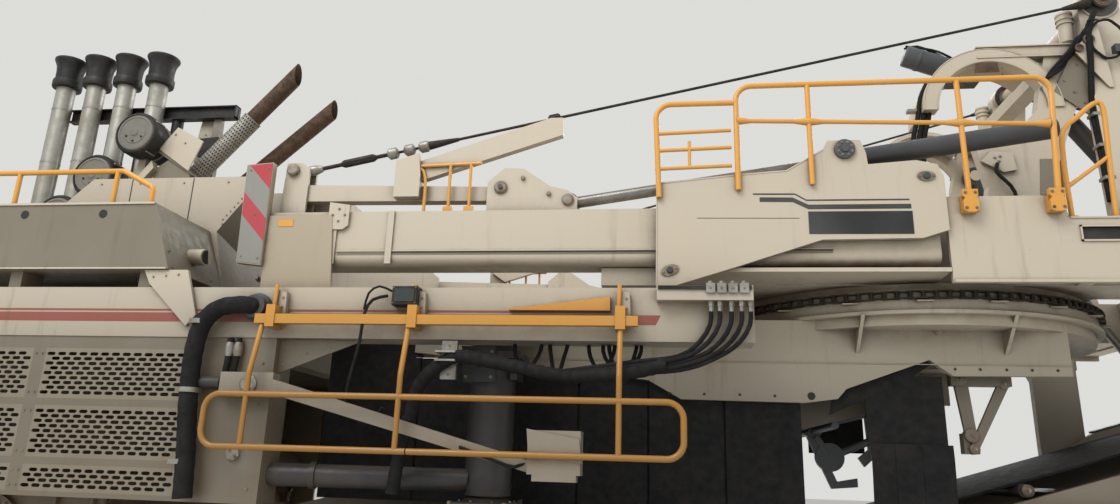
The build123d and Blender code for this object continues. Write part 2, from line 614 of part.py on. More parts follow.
CAP_HALF = [  # out from the stack's axis, height: lower ring, waist, flared lip
    (0, STACK_TOP), (STACK_R + 35, STACK_TOP), (STACK_R + 35, STACK_TOP + 45), (STACK_R + 12, STACK_TOP + 60),
    (STACK_R + 20, STACK_TOP + 200), (CAP_R, CAP_TOP - 40), (CAP_R, CAP_TOP), (0, CAP_TOP)]
with BuildPart() as intake_caps:
    for stack_x in INTAKE_XS:
        with BuildSketch(Plane.XZ) as cap_half:
            with BuildLine():
                Polyline(*[(stack_x + reach, height) for reach, height in CAP_HALF], close=True)
            make_face()
        revolve(cap_half.sketch, axis=Axis((stack_x, 0, 0), (0, 0, 1)))
publish(intake_caps.part, "intake_caps")

FILTERS = [(-7560, 5560), (-8060, 5000), (-8560, 5560)]  # X, Z of each housing
with BuildPart() as air_filters:
    for filter_x, filter_z in FILTERS:
        cross_pin(filter_x, filter_z, FILTER_FACE_Y, FILTER_BACK_Y, FILTER_R)
        cross_pin(filter_x, filter_z, FILTER_FACE_Y - 30, FILTER_FACE_Y, 0.8 * FILTER_R)
    for filter_x, filter_z in FILTERS:
        block((filter_x - 40, filter_x + 40), (-420, -300), (HOOD_TOP, filter_z - 200))
publish(air_filters.part, "air_filters")

# Exhausts: slanted pipes, their mouths cut off upright
EXHAUSTS = [  # X and Z at the foot, X and Z at the mouth, Y
    (-7300, 4960, -5840, 6640, 0), (-6960, 4960, -5470, 6320, 420)]
with BuildPart() as exhausts:
    for foot_x, foot_z, mouth_x, mouth_z, pipe_y in EXHAUSTS:
        beyond = (mouth_x + (mouth_x - foot_x) * 0.1, pipe_y, mouth_z + (mouth_z - foot_z) * 0.1)
        halfway = ((mouth_x + foot_x) / 2, pipe_y, (mouth_z + foot_z) / 2)
        rod_along((foot_x, pipe_y, foot_z), beyond, EXHAUST_R)
        rod_along(halfway, beyond, EXHAUST_R - EXHAUST_WALL, mode=Mode.SUBTRACT)
        rod_along((foot_x + 60, pipe_y, HOOD_TOP), (foot_x + 60, pipe_y, foot_z + 80), EXHAUST_R)
        block((mouth_x, mouth_x + 400), (pipe_y - 200, pipe_y + 200), (mouth_z - 300, mouth_z + 500),
              mode=Mode.SUBTRACT)
publish(exhausts.part, "exhausts")

# Low rails along the side decks
with BuildPart() as deck_rails:
    rail_y = -TRAY_Y + 40
    tube([(TRAY_FRONT_X + 100, rail_y, TRAY_TOP), (TRAY_FRONT_X + 100, rail_y, 4230),
          (-6020, rail_y, 4230), (-5690, rail_y, 4060), (-5690, rail_y, TRAY_TOP)], RAIL_R, 60)
    for post_x in (-9200, -8150, -7100, -6080):
        rod_along((post_x, rail_y, TRAY_TOP), (post_x, rail_y, 4230), POST_R)
    mirror(about=Plane.XZ)
publish(deck_rails.part, "deck_rails")

# Front platform with its tanks
with BuildPart() as front_platform:
    block((FRONT_X, -10550), (-BEAM_Y, BEAM_Y), (BEAM_TOP, BEAM_TOP + 60))
    block((-13500, -10700), (200, BEAM_Y - 30), (BEAM_TOP + 60, 4250))
    block((-11500, -10700), (-BEAM_Y + 30, 190), (BEAM_TOP + 60, 4250))
publish(front_platform.part, "front_platform")

with BuildPart() as front_rails:
    tube([(-11600, BEAM_Y - 80, 4250), (-11600, BEAM_Y - 80, 5250), (-13450, BEAM_Y - 80, 5250),
          (-13450, 300, 5250), (-13450, 300, 4250)], RAIL_R, RAIL_BEND)
    for post_x in (-12500, -13000):
        rod_along((post_x, BEAM_Y - 80, 4250), (post_x, BEAM_Y - 80, 5250), POST_R)
publish(front_rails.part, "front_rails")

# Cab: open shell with windows, door on the left side
CAB_FOOT = BEAM_TOP + 60
DOOR_FRONT_X = CAB_REAR_X - 1000
DOOR_REAR_X = CAB_REAR_X - 130
DOOR_FOOT = CAB_FOOT + 70
DOOR_TOP = CAB_TOP - 150
HINGE_X = DOOR_REAR_X + DOOR_GAP
HINGE_Y = -CAB_OUTER_Y - HINGE_OUT
HINGE_ZS = (3450, 4150, 4850)
KNUCKLE = 60


def hinge_knuckle(knuckle_z, leaf_end_x):
    """A knuckle of the door's hinge with its leaf on the panel behind it."""
    leaf = sorted((HINGE_X, leaf_end_x))
    with Locations((HINGE_X, HINGE_Y, knuckle_z)):
        Cylinder(HINGE_R, KNUCKLE, align=(Align.CENTER, Align.CENTER, Align.MIN))
    block(leaf, (HINGE_Y - 6, HINGE_Y + 6), (knuckle_z, knuckle_z + KNUCKLE))
    plate = sorted((leaf_end_x, (leaf_end_x + HINGE_X) / 2))
    block(plate, (HINGE_Y - 6, -CAB_OUTER_Y + 5), (knuckle_z, knuckle_z + KNUCKLE))


with BuildPart() as cab_shell:
    side_prism([(CAB_FRONT_X, CAB_FOOT), (CAB_REAR_X, CAB_FOOT), (CAB_REAR_X, CAB_TOP),
                (CAB_FRONT_X + 250, CAB_TOP), (CAB_FRONT_X, 4100)], CAB_INNER_Y, CAB_OUTER_Y)
    side_prism([(CAB_FRONT_X + CAB_WALL, CAB_FOOT + CAB_WALL), (CAB_REAR_X - CAB_WALL, CAB_FOOT + CAB_WALL),
                (CAB_REAR_X - CAB_WALL, CAB_TOP - CAB_WALL),
                (CAB_FRONT_X + 250 + CAB_WALL, CAB_TOP - CAB_WALL), (CAB_FRONT_X + CAB_WALL, 4100)],
               CAB_INNER_Y + CAB_WALL, CAB_OUTER_Y - CAB_WALL, mode=Mode.SUBTRACT)
    block((DOOR_FRONT_X - DOOR_GAP, DOOR_REAR_X + DOOR_GAP), (-CAB_OUTER_Y - 10, -CAB_OUTER_Y + 100),
          (DOOR_FOOT - DOOR_GAP, DOOR_TOP + DOOR_GAP), mode=Mode.SUBTRACT)
    block((CAB_FRONT_X + 300, DOOR_FRONT_X - 90), (-CAB_OUTER_Y - 10, -CAB_OUTER_Y + 100),
          (4050, DOOR_TOP - 60), mode=Mode.SUBTRACT)
    block((CAB_FRONT_X - 10, CAB_FRONT_X + 300), (-CAB_OUTER_Y + 120, -CAB_INNER_Y - 120),
          (3750, DOOR_TOP - 60), mode=Mode.SUBTRACT)
    block((CAB_FRONT_X + 350, CAB_REAR_X - 300), (-CAB_INNER_Y - 100, -CAB_INNER_Y + 10),
          (4350, DOOR_TOP - 60), mode=Mode.SUBTRACT)
    block((CAB_REAR_X - 100, CAB_REAR_X + 10), (-CAB_OUTER_Y + 250, -CAB_INNER_Y - 250),
          (4350, DOOR_TOP - 60), mode=Mode.SUBTRACT)
    for knuckle_z in HINGE_ZS:
        hinge_knuckle(knuckle_z, HINGE_X + 70)
publish(cab_shell.part, "cab_shell")

with BuildPart() as cab_glass:
    block((CAB_FRONT_X + 290, DOOR_FRONT_X - 80), (-CAB_OUTER_Y + CAB_WALL, -CAB_OUTER_Y + CAB_WALL + GLASS),
          (4040, DOOR_TOP - 50))
    block((CAB_FRONT_X + 340, CAB_REAR_X - 290), (-CAB_INNER_Y - CAB_WALL - GLASS, -CAB_INNER_Y - CAB_WALL),
          (4340, DOOR_TOP - 50))
    block((CAB_REAR_X - CAB_WALL - GLASS, CAB_REAR_X - CAB_WALL), (-CAB_OUTER_Y + 240, -CAB_INNER_Y - 240),
          (4340, DOOR_TOP - 50))
    lean = 250 / (CAB_TOP - CAB_WALL - 4100)
    inside = CAB_FRONT_X + CAB_WALL + EYE_GAP
    side_prism([(inside, 3740), (inside + GLASS, 3740), (inside + GLASS, 4100),
                (inside + GLASS + 940 * lean, 5040), (inside + 940 * lean, 5040), (inside, 4100)],
               CAB_INNER_Y + 110, CAB_OUTER_Y - 110)
publish(cab_glass.part, "cab_glass")

with BuildPart() as cab_door:
    block((DOOR_FRONT_X, DOOR_REAR_X), (-CAB_OUTER_Y, -CAB_OUTER_Y + 50), (DOOR_FOOT, DOOR_TOP))
    block((DOOR_FRONT_X + 90, DOOR_REAR_X - 90), (-CAB_OUTER_Y - 5, -CAB_OUTER_Y + 60),
          (DOOR_FOOT + 650, DOOR_TOP - 90), mode=Mode.SUBTRACT)
    for knuckle_z in HINGE_ZS:
        hinge_knuckle(knuckle_z + KNUCKLE + 2, HINGE_X - 80)
publish(cab_door.part, "cab_door")

with BuildPart() as door_glass:
    block((DOOR_FRONT_X + 90.3, DOOR_REAR_X - 90.3), (-CAB_OUTER_Y + 20, -CAB_OUTER_Y + 32),
          (DOOR_FOOT + 650.3, DOOR_TOP - 90.3))
publish(door_glass.part, "door_glass")

with BuildPart() as cab_seat:
    seat_y = -(CAB_OUTER_Y + CAB_INNER_Y) / 2
    block((-12650, -12150), (seat_y - 260, seat_y + 260), (CAB_FOOT + CAB_WALL, 3700))
    block((-12250, -12120), (seat_y - 260, seat_y + 260), (3700, 4450))
    block((-13350, -13100), (seat_y - 500, seat_y + 500), (CAB_FOOT + CAB_WALL, 3900))
publish(cab_seat.part, "cab_seat")

# Ladder up to the cab door, hung from the left beam
with BuildPart() as cab_ladder:
    ladder_y = -BEAM_Y - 60
    for stile_x in (LADDER_X - LADDER_HALF, LADDER_X + LADDER_HALF):
        block((stile_x - 12, stile_x + 12), (ladder_y - 30, ladder_y + 30), (LADDER_FOOT, BEAM_TOP + 55))
        for bracket_z in (BEAM_FOOT + 60, BEAM_TOP - 60):
            block((stile_x - 12, stile_x + 12), (ladder_y, -BEAM_Y - EYE_GAP),
                  (bracket_z - 25, bracket_z + 25))
    for i in range(LADDER_RUNGS):
        rung_z = LADDER_FOOT + 60 + i * (BEAM_TOP - LADDER_FOOT - 60) / LADDER_RUNGS
        block((LADDER_X - LADDER_HALF, LADDER_X + LADDER_HALF), (ladder_y - 22, ladder_y + 22),
              (rung_z - 12, rung_z + 12))
publish(cab_ladder.part, "cab_ladder")

# Slanted arms at the sides, each with a step box on its end
with BuildPart() as side_arms:
    side_prism([(-4290, 2320), (-4290, 2200), (-2000, 1610), (-2000, 1700)], BEAM_Y + 20, BEAM_Y + 110)
    block((-2040, -1630), (-BEAM_Y - 200, -BEAM_Y), (1610, 1940))
    block((-4700, -4230), (-BEAM_Y - 110, -BEAM_Y + 9), (2160, 2360))
    mirror(about=Plane.XZ)
publish(side_arms.part, "side_arms")

# Guard rails that hang from the outer beams
with BuildPart() as side_rails:
    guard_y = -BEAM_Y - 230
    block((-4440, -1200), (-BEAM_Y - 160, -BEAM_Y - 90), (2770, 2850))
    for hinge_x in (-4300, -3060, -1340):
        block((hinge_x - 40, hinge_x + 40), (-BEAM_Y - 170, -BEAM_Y), (2740, 2930))
    for post_x in (-4380, -3090, -1340):
        tube([(post_x, -BEAM_Y - 125, 2760), (post_x, guard_y, 2350), (post_x, guard_y, GUARD_FOOT)],
             POST_R, 80)
    corners = [(-3000, GUARD_FOOT), (GUARD_FRONT_X, GUARD_FOOT), (GUARD_FRONT_X, GUARD_TOP),
               (GUARD_REAR_X, GUARD_TOP), (GUARD_REAR_X, GUARD_FOOT), (-2990, GUARD_FOOT)]
    tube([(x, guard_y, z) for x, z in corners], RAIL_R, 130)
    mirror(about=Plane.XZ)
publish(side_rails.part, "side_rails")

# Hydraulic hoses clamped along the left beam
with BuildPart() as hydraulic_hoses:
    tube([(-700, -2663, 2989.7), (-700, -2663, 2600), (-1020, -2700, 2450), (-1450, -2700, 2370),
          (-2100, -2700, 2430), (-2740, -2660, 2490), (-3060, -2480, 2150), (-3250, -2450, 1700)], 62, 120)
    tube([(-4520, -2690, 2930), (-4840, -2720, 2880), (-4930, -2720, 2500), (-4900, -2720, 1400)], 80, 170)
publish(hydraulic_hoses.part, "hydraulic_hoses")

with BuildPart() as valve_block:
    block((-1050, -290), (-BEAM_Y - 120, -BEAM_Y), (2990, 3110))
publish(valve_block.part, "valve_block")

# Upper structure: middle box on the ring, side walls, rear cross beam, hanging legs
with BuildPart() as upper_frame:
    side_prism([(SLEEVE_FRONT_X + 100, DECK_FOOT), (MIDDLE_REAR_X, DECK_FOOT), (MIDDLE_REAR_X, DECK_TOP),
                (SLEEVE_FRONT_X + 100, DECK_TOP)], 0, INNER_Y)
    side_prism([(SLEEVE_REAR_X + 5, SUPER_FOOT), (SUPER_REAR_X, SUPER_FOOT), (SUPER_REAR_X, SUPER_LOW_TOP),
                (SUPER_STEP_X, SUPER_LOW_TOP), (SUPER_STEP_X, SUPER_TOP), (SLEEVE_REAR_X + 5, SUPER_TOP)],
               WALL_Y - WALL, WALL_Y)
    block((2440, 2900), (-WALL_Y - 5, -WALL_Y + WALL + 5), (3610, 3720), mode=Mode.SUBTRACT)
    block((2560, SUPER_REAR_X), (-INNER_Y, -CHEEK_INNER_Y), (DECK_FOOT, SUPER_LOW_TOP))
    block((2560, 2680), (-WALL_Y + WALL, -INNER_Y), (DECK_FOOT, SUPER_LOW_TOP))
    block((SUPER_REAR_X - 200, SUPER_REAR_X), (-WALL_Y, 0), (SUPER_FOOT + 60, SUPER_LOW_TOP))
    cradle_x = LUFF_PIN[0] - 150
    side_prism([(LEG_FRONT_X, 3340), (LEG_REAR_X, 3340), (LEG_REAR_X, CRADLE_FOOT + 60),
                (LEG_REAR_X - 200, CRADLE_FOOT), (cradle_x, CRADLE_FOOT), (cradle_x, CRADLE_TOP),
                (LEG_FRONT_X, CRADLE_TOP)], LEG_INNER_Y, LEG_OUTER_Y)
    side_prism([(LEG_FRONT_X, 2980), (LEG_FRONT_X + 60, 2850), (LEG_REAR_X - 60, 2850),
                (LEG_REAR_X + 60, 3000), (LEG_REAR_X + 60, DECK_FOOT + 20), (LEG_FRONT_X, DECK_FOOT + 20)],
               LEG_OUTER_Y, 1340)
    mirror(about=Plane.XZ)
    with Locations((SLEW_X, 0, RING_TOP + EYE_GAP)):
        Cylinder(RING_R - 60, DECK_FOOT - RING_TOP - EYE_GAP, align=(Align.CENTER, Align.CENTER, Align.MIN))
    cross_pin(LUFF_PIN[0], LUFF_PIN[1], -LEG_OUTER_Y - 40, LEG_OUTER_Y + 40, LUFF_PIN_R + EYE_GAP,
              mode=Mode.SUBTRACT)
publish(upper_frame.part, "upper_frame")

# Sleeves round the girders
SLEEVE_OUTLINE = [
    (-1060, 3180), (-1055, 4150), (-320, 4220), (80, 4250), (400, 4440), (440, 4520), (720, 4520),
    (760, 4400), (770, 4290), (1170, 4320), (1340, 4280), (1385, 4170), (1385, 3690), (1170, 3620),
    (350, 3610), (-350, 3380), (-980, 3180),
]
with BuildPart() as girder_sleeves:
    side_prism(SLEEVE_OUTLINE, SLEEVE_Y - WALL, SLEEVE_Y)
    girder_gap = GIRDER_Y + GIRDER_WIDTH / 2 + GAP
    block((SLEEVE_FRONT_X + 100, SLEEVE_REAR_X), (-SLEEVE_Y + WALL, -INNER_Y), (3340, GIRDER_FOOT - 45))
    block((-600, SLEEVE_REAR_X), (-SLEEVE_Y + WALL, -INNER_Y), (GIRDER_TOP + PAD, GIRDER_TOP + 70))
    for pad_x in (-550, 1050):
        pad_y = (-GIRDER_Y - 90, -GIRDER_Y + 90)
        block((pad_x - 350 * (pad_x < 0), pad_x + 250), pad_y, (GIRDER_FOOT - 50, GIRDER_FOOT - EYE_GAP))
        block((pad_x, pad_x + 250), pad_y, (GIRDER_TOP + EYE_GAP, GIRDER_TOP + PAD + 5))
    for ear in ((SLEEVE_Y - WALL, SLEEVE_Y - WALL - 60), (INNER_Y + 40, INNER_Y - 20)):
        trunnion_x, ear_top = COUNTER_TRUNNION[0], COUNTER_TRUNNION[1] + 90
        side_prism([(trunnion_x - 150, GIRDER_TOP + 70), (trunnion_x + 150, GIRDER_TOP + 70),
                    (trunnion_x + 110, ear_top), (trunnion_x - 110, ear_top)], ear[1], ear[0])
    cross_pin(COUNTER_TRUNNION[0], COUNTER_TRUNNION[1], -SLEEVE_Y - 5, -INNER_Y + 30, 62, mode=Mode.SUBTRACT)
    mirror(about=Plane.XZ)
publish(girder_sleeves.part, "girder_sleeves")

# Pylons with the arches over the luffing cylinders, each a deep vault
PYLON_Y = 1150
ARCH_X = 2290
ARCH_Z = 5275
ARCH_R = 660
ARCH_WALL = 140
ARCH_WIDTH = 140
VAULT_INNER_Y = 750
with BuildPart() as pylon_arch:
    side_prism([(2060, DECK_TOP), (2900, DECK_TOP), (2760, 4500), (3080, 5300), (3120, 5900), (2860, 5940),
                (2700, 5250), (2450, 4980), (2060, 4960), (2160, 4450)], PYLON_Y, PYLON_Y + 120)
    with BuildSketch(Plane.XZ.offset(PYLON_Y)) as arch_face:
        with Locations((ARCH_X, ARCH_Z)):
            Circle(ARCH_R)
            Circle(ARCH_R - ARCH_WALL, mode=Mode.SUBTRACT)
        with Locations((ARCH_X, ARCH_Z)):
            Rectangle(2 * ARCH_R + 20, 2 * ARCH_R, align=(Align.CENTER, Align.MAX), mode=Mode.SUBTRACT)
    extrude(arch_face.sketch, amount=ARCH_WIDTH)
    with BuildSketch(Plane.XZ.offset(VAULT_INNER_Y)) as vault_face:
        with Locations((ARCH_X, ARCH_Z)):
            Circle(ARCH_R)
            Circle(ARCH_R - ARCH_WALL / 3, mode=Mode.SUBTRACT)
        with Locations((ARCH_X, ARCH_Z)):
            Rectangle(2 * ARCH_R + 20, 2 * ARCH_R, align=(Align.CENTER, Align.MAX), mode=Mode.SUBTRACT)
        with Locations((LUFF_TOP[0] - 220, ARCH_Z)):
            Rectangle(ARCH_R, 2 * ARCH_R, align=(Align.MIN, Align.CENTER), mode=Mode.SUBTRACT)
    extrude(vault_face.sketch, amount=PYLON_Y - VAULT_INNER_Y)
    block((2200, 3090), (-PYLON_Y - ARCH_WIDTH + 10, -PYLON_Y - 20), (5850, 5950))
    mirror(about=Plane.XZ)
    block((2900, 3080), (-PYLON_Y, PYLON_Y), (5760, 5900))
    cross_pin(LUFF_TOP[0], LUFF_TOP[1], -PYLON_Y - 130, -PYLON_Y + 180, LUFF_TOP_R)
    cross_pin(LUFF_TOP[0], LUFF_TOP[1], PYLON_Y - 180, PYLON_Y + 130, LUFF_TOP_R)
publish(pylon_arch.part, "pylon_arch")

# Handrails on the upper structure
with BuildPart() as upper_rails:
    rail_y = -SLEEVE_Y - RAIL_R
    tube([(-340, rail_y, 4060), (-340, rail_y, 5060), (2330, rail_y, 5060), (2250, rail_y, 3850)],
         RAIL_R, RAIL_BEND)
    rod_along((-340, rail_y, 4720), (2270, rail_y, 4620), KNEE_R)
    for post_x, post_foot in ((290, 4100), (1560, 3850)):
        rod_along((post_x, rail_y, post_foot), (post_x, rail_y, 5060), POST_R)
    tube([(-1030, rail_y, 4000), (-1060, rail_y, 4900), (-340, rail_y, 4900)], RAIL_R, RAIL_BEND)
    for foot_x in (1560, 2240):
        block((foot_x - 60, foot_x + 60), (-SLEEVE_Y - 10, -WALL_Y), (3840, 3980))
    mirror(about=Plane.XZ)
publish(upper_rails.part, "upper_rails")

# Counterweight girders, rounded below, with the weight across their front ends
with BuildPart() as counter_girders:
    side_prism([(GIRDER_FRONT_X, GIRDER_FOOT), (GIRDER_REAR_X, GIRDER_FOOT), (GIRDER_REAR_X, GIRDER_TOP),
                (GIRDER_FRONT_X, GIRDER_TOP)], GIRDER_Y - GIRDER_WIDTH / 2, GIRDER_Y + GIRDER_WIDTH / 2)
    fillet(counter_girders.edges().filter_by(Axis.X).group_by(Axis.Z)[0], 90)
    mirror(about=Plane.XZ)
publish(counter_girders.part, "counter_girders")

with BuildPart() as counterweight:
    block((COUNTER_FRONT_X, COUNTER_REAR_X), (-GIRDER_Y + GIRDER_WIDTH / 2, GIRDER_Y - GIRDER_WIDTH / 2),
          (COUNTER_FOOT, COUNTER_TOP))
publish(counterweight.part, "counterweight")

with BuildPart() as end_blocks:
    side_prism([(-4720, GIRDER_FOOT), (-4720, COUNTER_FOOT), (-4030, COUNTER_FOOT), (-4090, 3900),
                (-4720, 3900)], GIRDER_Y + GIRDER_WIDTH / 2, COUNTER_Y)
    side_prism([(-4970, 3430), (-4720, 3400), (-4730, 4430), (-5000, 4410)], GIRDER_Y + GIRDER_WIDTH / 2,
               COUNTER_Y + 40)
    mirror(about=Plane.XZ)
publish(end_blocks.part, "end_blocks")

# Linkage on top of the girders: tie boxes, rockers with the rods' pins, swing arms
with BuildPart() as top_linkage:
    side_prism([(-4560, 4100), (-2560, 4080), (-2560, 4220), (-4560, 4270)], GIRDER_Y - 60, GIRDER_Y + 60)
    side_prism([(-4700, GIRDER_TOP), (-4440, GIRDER_TOP), (-4440, 4440), (-4530, 4490), (-4680, 4490)],
               GIRDER_Y - 90, GIRDER_Y - 62)
    side_prism([(-4700, GIRDER_TOP), (-4440, GIRDER_TOP), (-4440, 4440), (-4530, 4490), (-4680, 4490)],
               GIRDER_Y + 62, GIRDER_Y + 90)
    side_prism([(-2640, GIRDER_TOP), (-1790, GIRDER_TOP), (-1780, 4080), (-1880, 4160), (-2040, 4200),
                (-2300, 4380), (-2480, 4390), (-2640, 4250)], GIRDER_Y - 110, GIRDER_Y - 62)
    side_prism([(-2640, GIRDER_TOP), (-1790, GIRDER_TOP), (-1780, 4080), (-1880, 4160), (-2040, 4200),
                (-2300, 4380), (-2480, 4390), (-2640, 4250)], GIRDER_Y + 62, GIRDER_Y + 110)
    cross_pin(COUNTER_EYE[0], COUNTER_EYE[1], -GIRDER_Y - 115, -GIRDER_Y + 115, 38)
    cross_pin(-2510, 4190, -GIRDER_Y - 115, -GIRDER_Y + 115, 45)
    cross_pin(STAY_FOOT[0], STAY_FOOT[1], -GIRDER_Y - 95, -GIRDER_Y + 95, PIN_R)
    side_prism([(-3540, 4100), (-3290, 4100), (-3290, 4330), (-3320, 4540), (-3540, 4470)],
               GIRDER_Y + 100, GIRDER_Y + 160)
    side_prism([(-3500, 4420), (-3300, 4280), (-1940, 4720), (-1940, 4900), (-2060, 4900)],
               GIRDER_Y + 20, GIRDER_Y + 100)
    block((-3540, -3290), (-GIRDER_Y - 100, -GIRDER_Y - 60), (4100, 4260))
    mirror(about=Plane.XZ)
publish(top_linkage.part, "top_linkage")

# Cylinders that move the counterweight: barrels in trunnions, rods to the rockers
TILT = atan2(COUNTER_TRUNNION[1] - COUNTER_EYE[1], COUNTER_TRUNNION[0] - COUNTER_EYE[0])


def along_counter(distance):
    """A point on the counterweight cylinder's axis, measured from its trunnion."""
    return (COUNTER_TRUNNION[0] + distance * cos(TILT), COUNTER_TRUNNION[1] + distance * sin(TILT))


with BuildPart() as counter_barrels:
    start, end = along_counter(-180), along_counter(1900)
    rod_along((start[0], -GIRDER_Y, start[1]), (end[0], -GIRDER_Y, end[1]), COUNTER_BARREL_R)
    cross_pin(COUNTER_TRUNNION[0], COUNTER_TRUNNION[1], -SLEEVE_Y + 4, -INNER_Y + 16, 61.95)
    start, end = along_counter(-300), along_counter(1840)
    rod_along((start[0], -GIRDER_Y, start[1]), (end[0], -GIRDER_Y, end[1]), COUNTER_ROD_R + EYE_GAP,
              mode=Mode.SUBTRACT)
    mirror(about=Plane.XZ)
publish(counter_barrels.part, "counter_barrels")

with BuildPart() as counter_rods:
    eye_reach = hypot(COUNTER_TRUNNION[0] - COUNTER_EYE[0], COUNTER_TRUNNION[1] - COUNTER_EYE[1])
    start, end = along_counter(-eye_reach + COUNTER_EYE_LIP - 12), along_counter(700)
    rod_along((start[0], -GIRDER_Y, start[1]), (end[0], -GIRDER_Y, end[1]), COUNTER_ROD_R)
    cross_pin(COUNTER_EYE[0], COUNTER_EYE[1], -GIRDER_Y - 50, -GIRDER_Y + 50, COUNTER_EYE_LIP)
    cross_pin(COUNTER_EYE[0], COUNTER_EYE[1], -GIRDER_Y - 80, -GIRDER_Y + 80, COUNTER_EYE_R,
              mode=Mode.SUBTRACT)
    mirror(about=Plane.XZ)
publish(counter_rods.part, "counter_rods")

# Mast: two legs that lean in to a head beam
with BuildPart() as mast:
    leg_line = Vector(MAST_HEAD[0] - MAST_PIN[0], MAST_PIN_Y - MAST_HEAD_Y, MAST_HEAD[1] - MAST_PIN[1])
    leg_plane = Plane(origin=(MAST_PIN[0], -MAST_PIN_Y, MAST_PIN[1]),
                      x_dir=Vector(0, 1, 0).cross(leg_line), z_dir=leg_line)
    with BuildSketch(leg_plane) as leg_face:
        Rectangle(*MAST_LEG)
    extrude(amount=leg_line.length)
    cross_pin(MAST_PIN[0], MAST_PIN[1], -MAST_PIN_Y - 240, -MAST_PIN_Y + 240, MAST_PIN_R)
    cross_pin(MAST_PIN[0], MAST_PIN[1], -MAST_PIN_Y - MAST_EAR_GAP + GAP, -MAST_PIN_Y + MAST_EAR_GAP - GAP,
              MAST_FOOT_R)
    cross_pin(MAST_HEAD[0], MAST_HEAD[1], -MAST_HEAD_Y - MAST_HEAD_HALF, -MAST_HEAD_Y + MAST_HEAD_HALF,
              MAST_HEAD_R)
    mirror(about=Plane.XZ)
    cross_pin(MAST_HEAD[0], MAST_HEAD[1], -MAST_HEAD_Y, MAST_HEAD_Y, HEAD_TUBE_R)
    cross_tie = (5700, 5850)
    tie_x = MAST_PIN[0] + (MAST_HEAD[0] - MAST_PIN[0]) * 0.67
    block((tie_x - 90, tie_x + 90), (-MAST_PIN_Y + 290, MAST_PIN_Y - 290), cross_tie)
publish(mast.part, "mast")

with BuildPart() as mast_feet:
    for ear_y in (MAST_PIN_Y - MAST_EAR_GAP - MAST_EAR, MAST_PIN_Y + MAST_EAR_GAP):
        side_prism([(MAST_PIN[0] - 200, SUPER_LOW_TOP), (MAST_PIN[0] + 200, SUPER_LOW_TOP),
                    (MAST_PIN[0] + 110, MAST_PIN[1] + 100), (MAST_PIN[0] - 110, MAST_PIN[1] + 100)],
                   ear_y, ear_y + MAST_EAR)
    cross_pin(MAST_PIN[0], MAST_PIN[1], -MAST_PIN_Y - 300, -MAST_PIN_Y + 300, MAST_PIN_R + EYE_GAP,
              mode=Mode.SUBTRACT)
    mirror(about=Plane.XZ)
publish(mast_feet.part, "mast_feet")

# Pendant stays: front pair to the counterweight, rear pair to the conveyor
with BuildPart() as front_stays:
    head_y = -MAST_HEAD_Y - MAST_HEAD_HALF - EYE_GAP
    rod_along((STAY_FOOT[0], -GIRDER_Y, STAY_FOOT[1]), (MAST_HEAD[0], head_y - 15, MAST_HEAD[1]), STAY_R)
    cross_pin(STAY_FOOT[0], STAY_FOOT[1], -GIRDER_Y - 45, -GIRDER_Y + 45, 80)
    cross_pin(STAY_FOOT[0], STAY_FOOT[1], -GIRDER_Y - 60, -GIRDER_Y + 60, PIN_R + EYE_GAP, mode=Mode.SUBTRACT)
    cross_pin(MAST_HEAD[0], MAST_HEAD[1], head_y - 30, head_y, 75)
    block((MAST_HEAD[0] - 300, MAST_HEAD[0] + 300), (head_y, head_y + 200),
          (MAST_HEAD[1] - 300, MAST_HEAD[1] + 300), mode=Mode.SUBTRACT)
    mirror(about=Plane.XZ)
publish(front_stays.part, "front_stays")

with BuildPart() as rear_stays:
    head_y = -MAST_HEAD_Y + MAST_HEAD_HALF + EYE_GAP
    eye_y = -FRAME_Y + FRAME_WALL + EYE_GAP
    rod_along((MAST_HEAD[0], head_y + 15, MAST_HEAD[1]), (REAR_STAY_EYE[0], eye_y + 15, REAR_STAY_EYE[1]),
              STAY_R)
    cross_pin(REAR_STAY_EYE[0], REAR_STAY_EYE[1], eye_y, eye_y + 35, 80)
    cross_pin(REAR_STAY_EYE[0], REAR_STAY_EYE[1], eye_y - 60, eye_y + 90, PIN_R + EYE_GAP, mode=Mode.SUBTRACT)
    block((REAR_STAY_EYE[0] - 300, REAR_STAY_EYE[0] + 300), (eye_y - 200, eye_y),
          (REAR_STAY_EYE[1] - 300, REAR_STAY_EYE[1] + 300), mode=Mode.SUBTRACT)
    cross_pin(MAST_HEAD[0], MAST_HEAD[1], head_y, head_y + 30, MAST_HEAD_R - 5)
    cross_pin(MAST_HEAD[0], MAST_HEAD[1], head_y - 60, head_y + 90, HEAD_TUBE_R + REAR_EYE_PLAY,
              mode=Mode.SUBTRACT)
    block((MAST_HEAD[0] - 300, MAST_HEAD[0] + 300), (head_y - 200, head_y),
          (MAST_HEAD[1] - 300, MAST_HEAD[1] + 300), mode=Mode.SUBTRACT)
    mirror(about=Plane.XZ)
publish(rear_stays.part, "rear_stays")

# Luffing cylinders between the pylons and the conveyor
LUFF_TILT = atan2(LUFF_EYE[1] - LUFF_TOP[1], LUFF_EYE[0] - LUFF_TOP[0])
LUFF_REACH = hypot(LUFF_EYE[0] - LUFF_TOP[0], LUFF_EYE[1] - LUFF_TOP[1])


def along_luff(distance):
    """A point on the luffing cylinder's axis, measured from its top pin."""
    return (LUFF_TOP[0] + distance * cos(LUFF_TILT), LUFF_TOP[1] + distance * sin(LUFF_TILT))


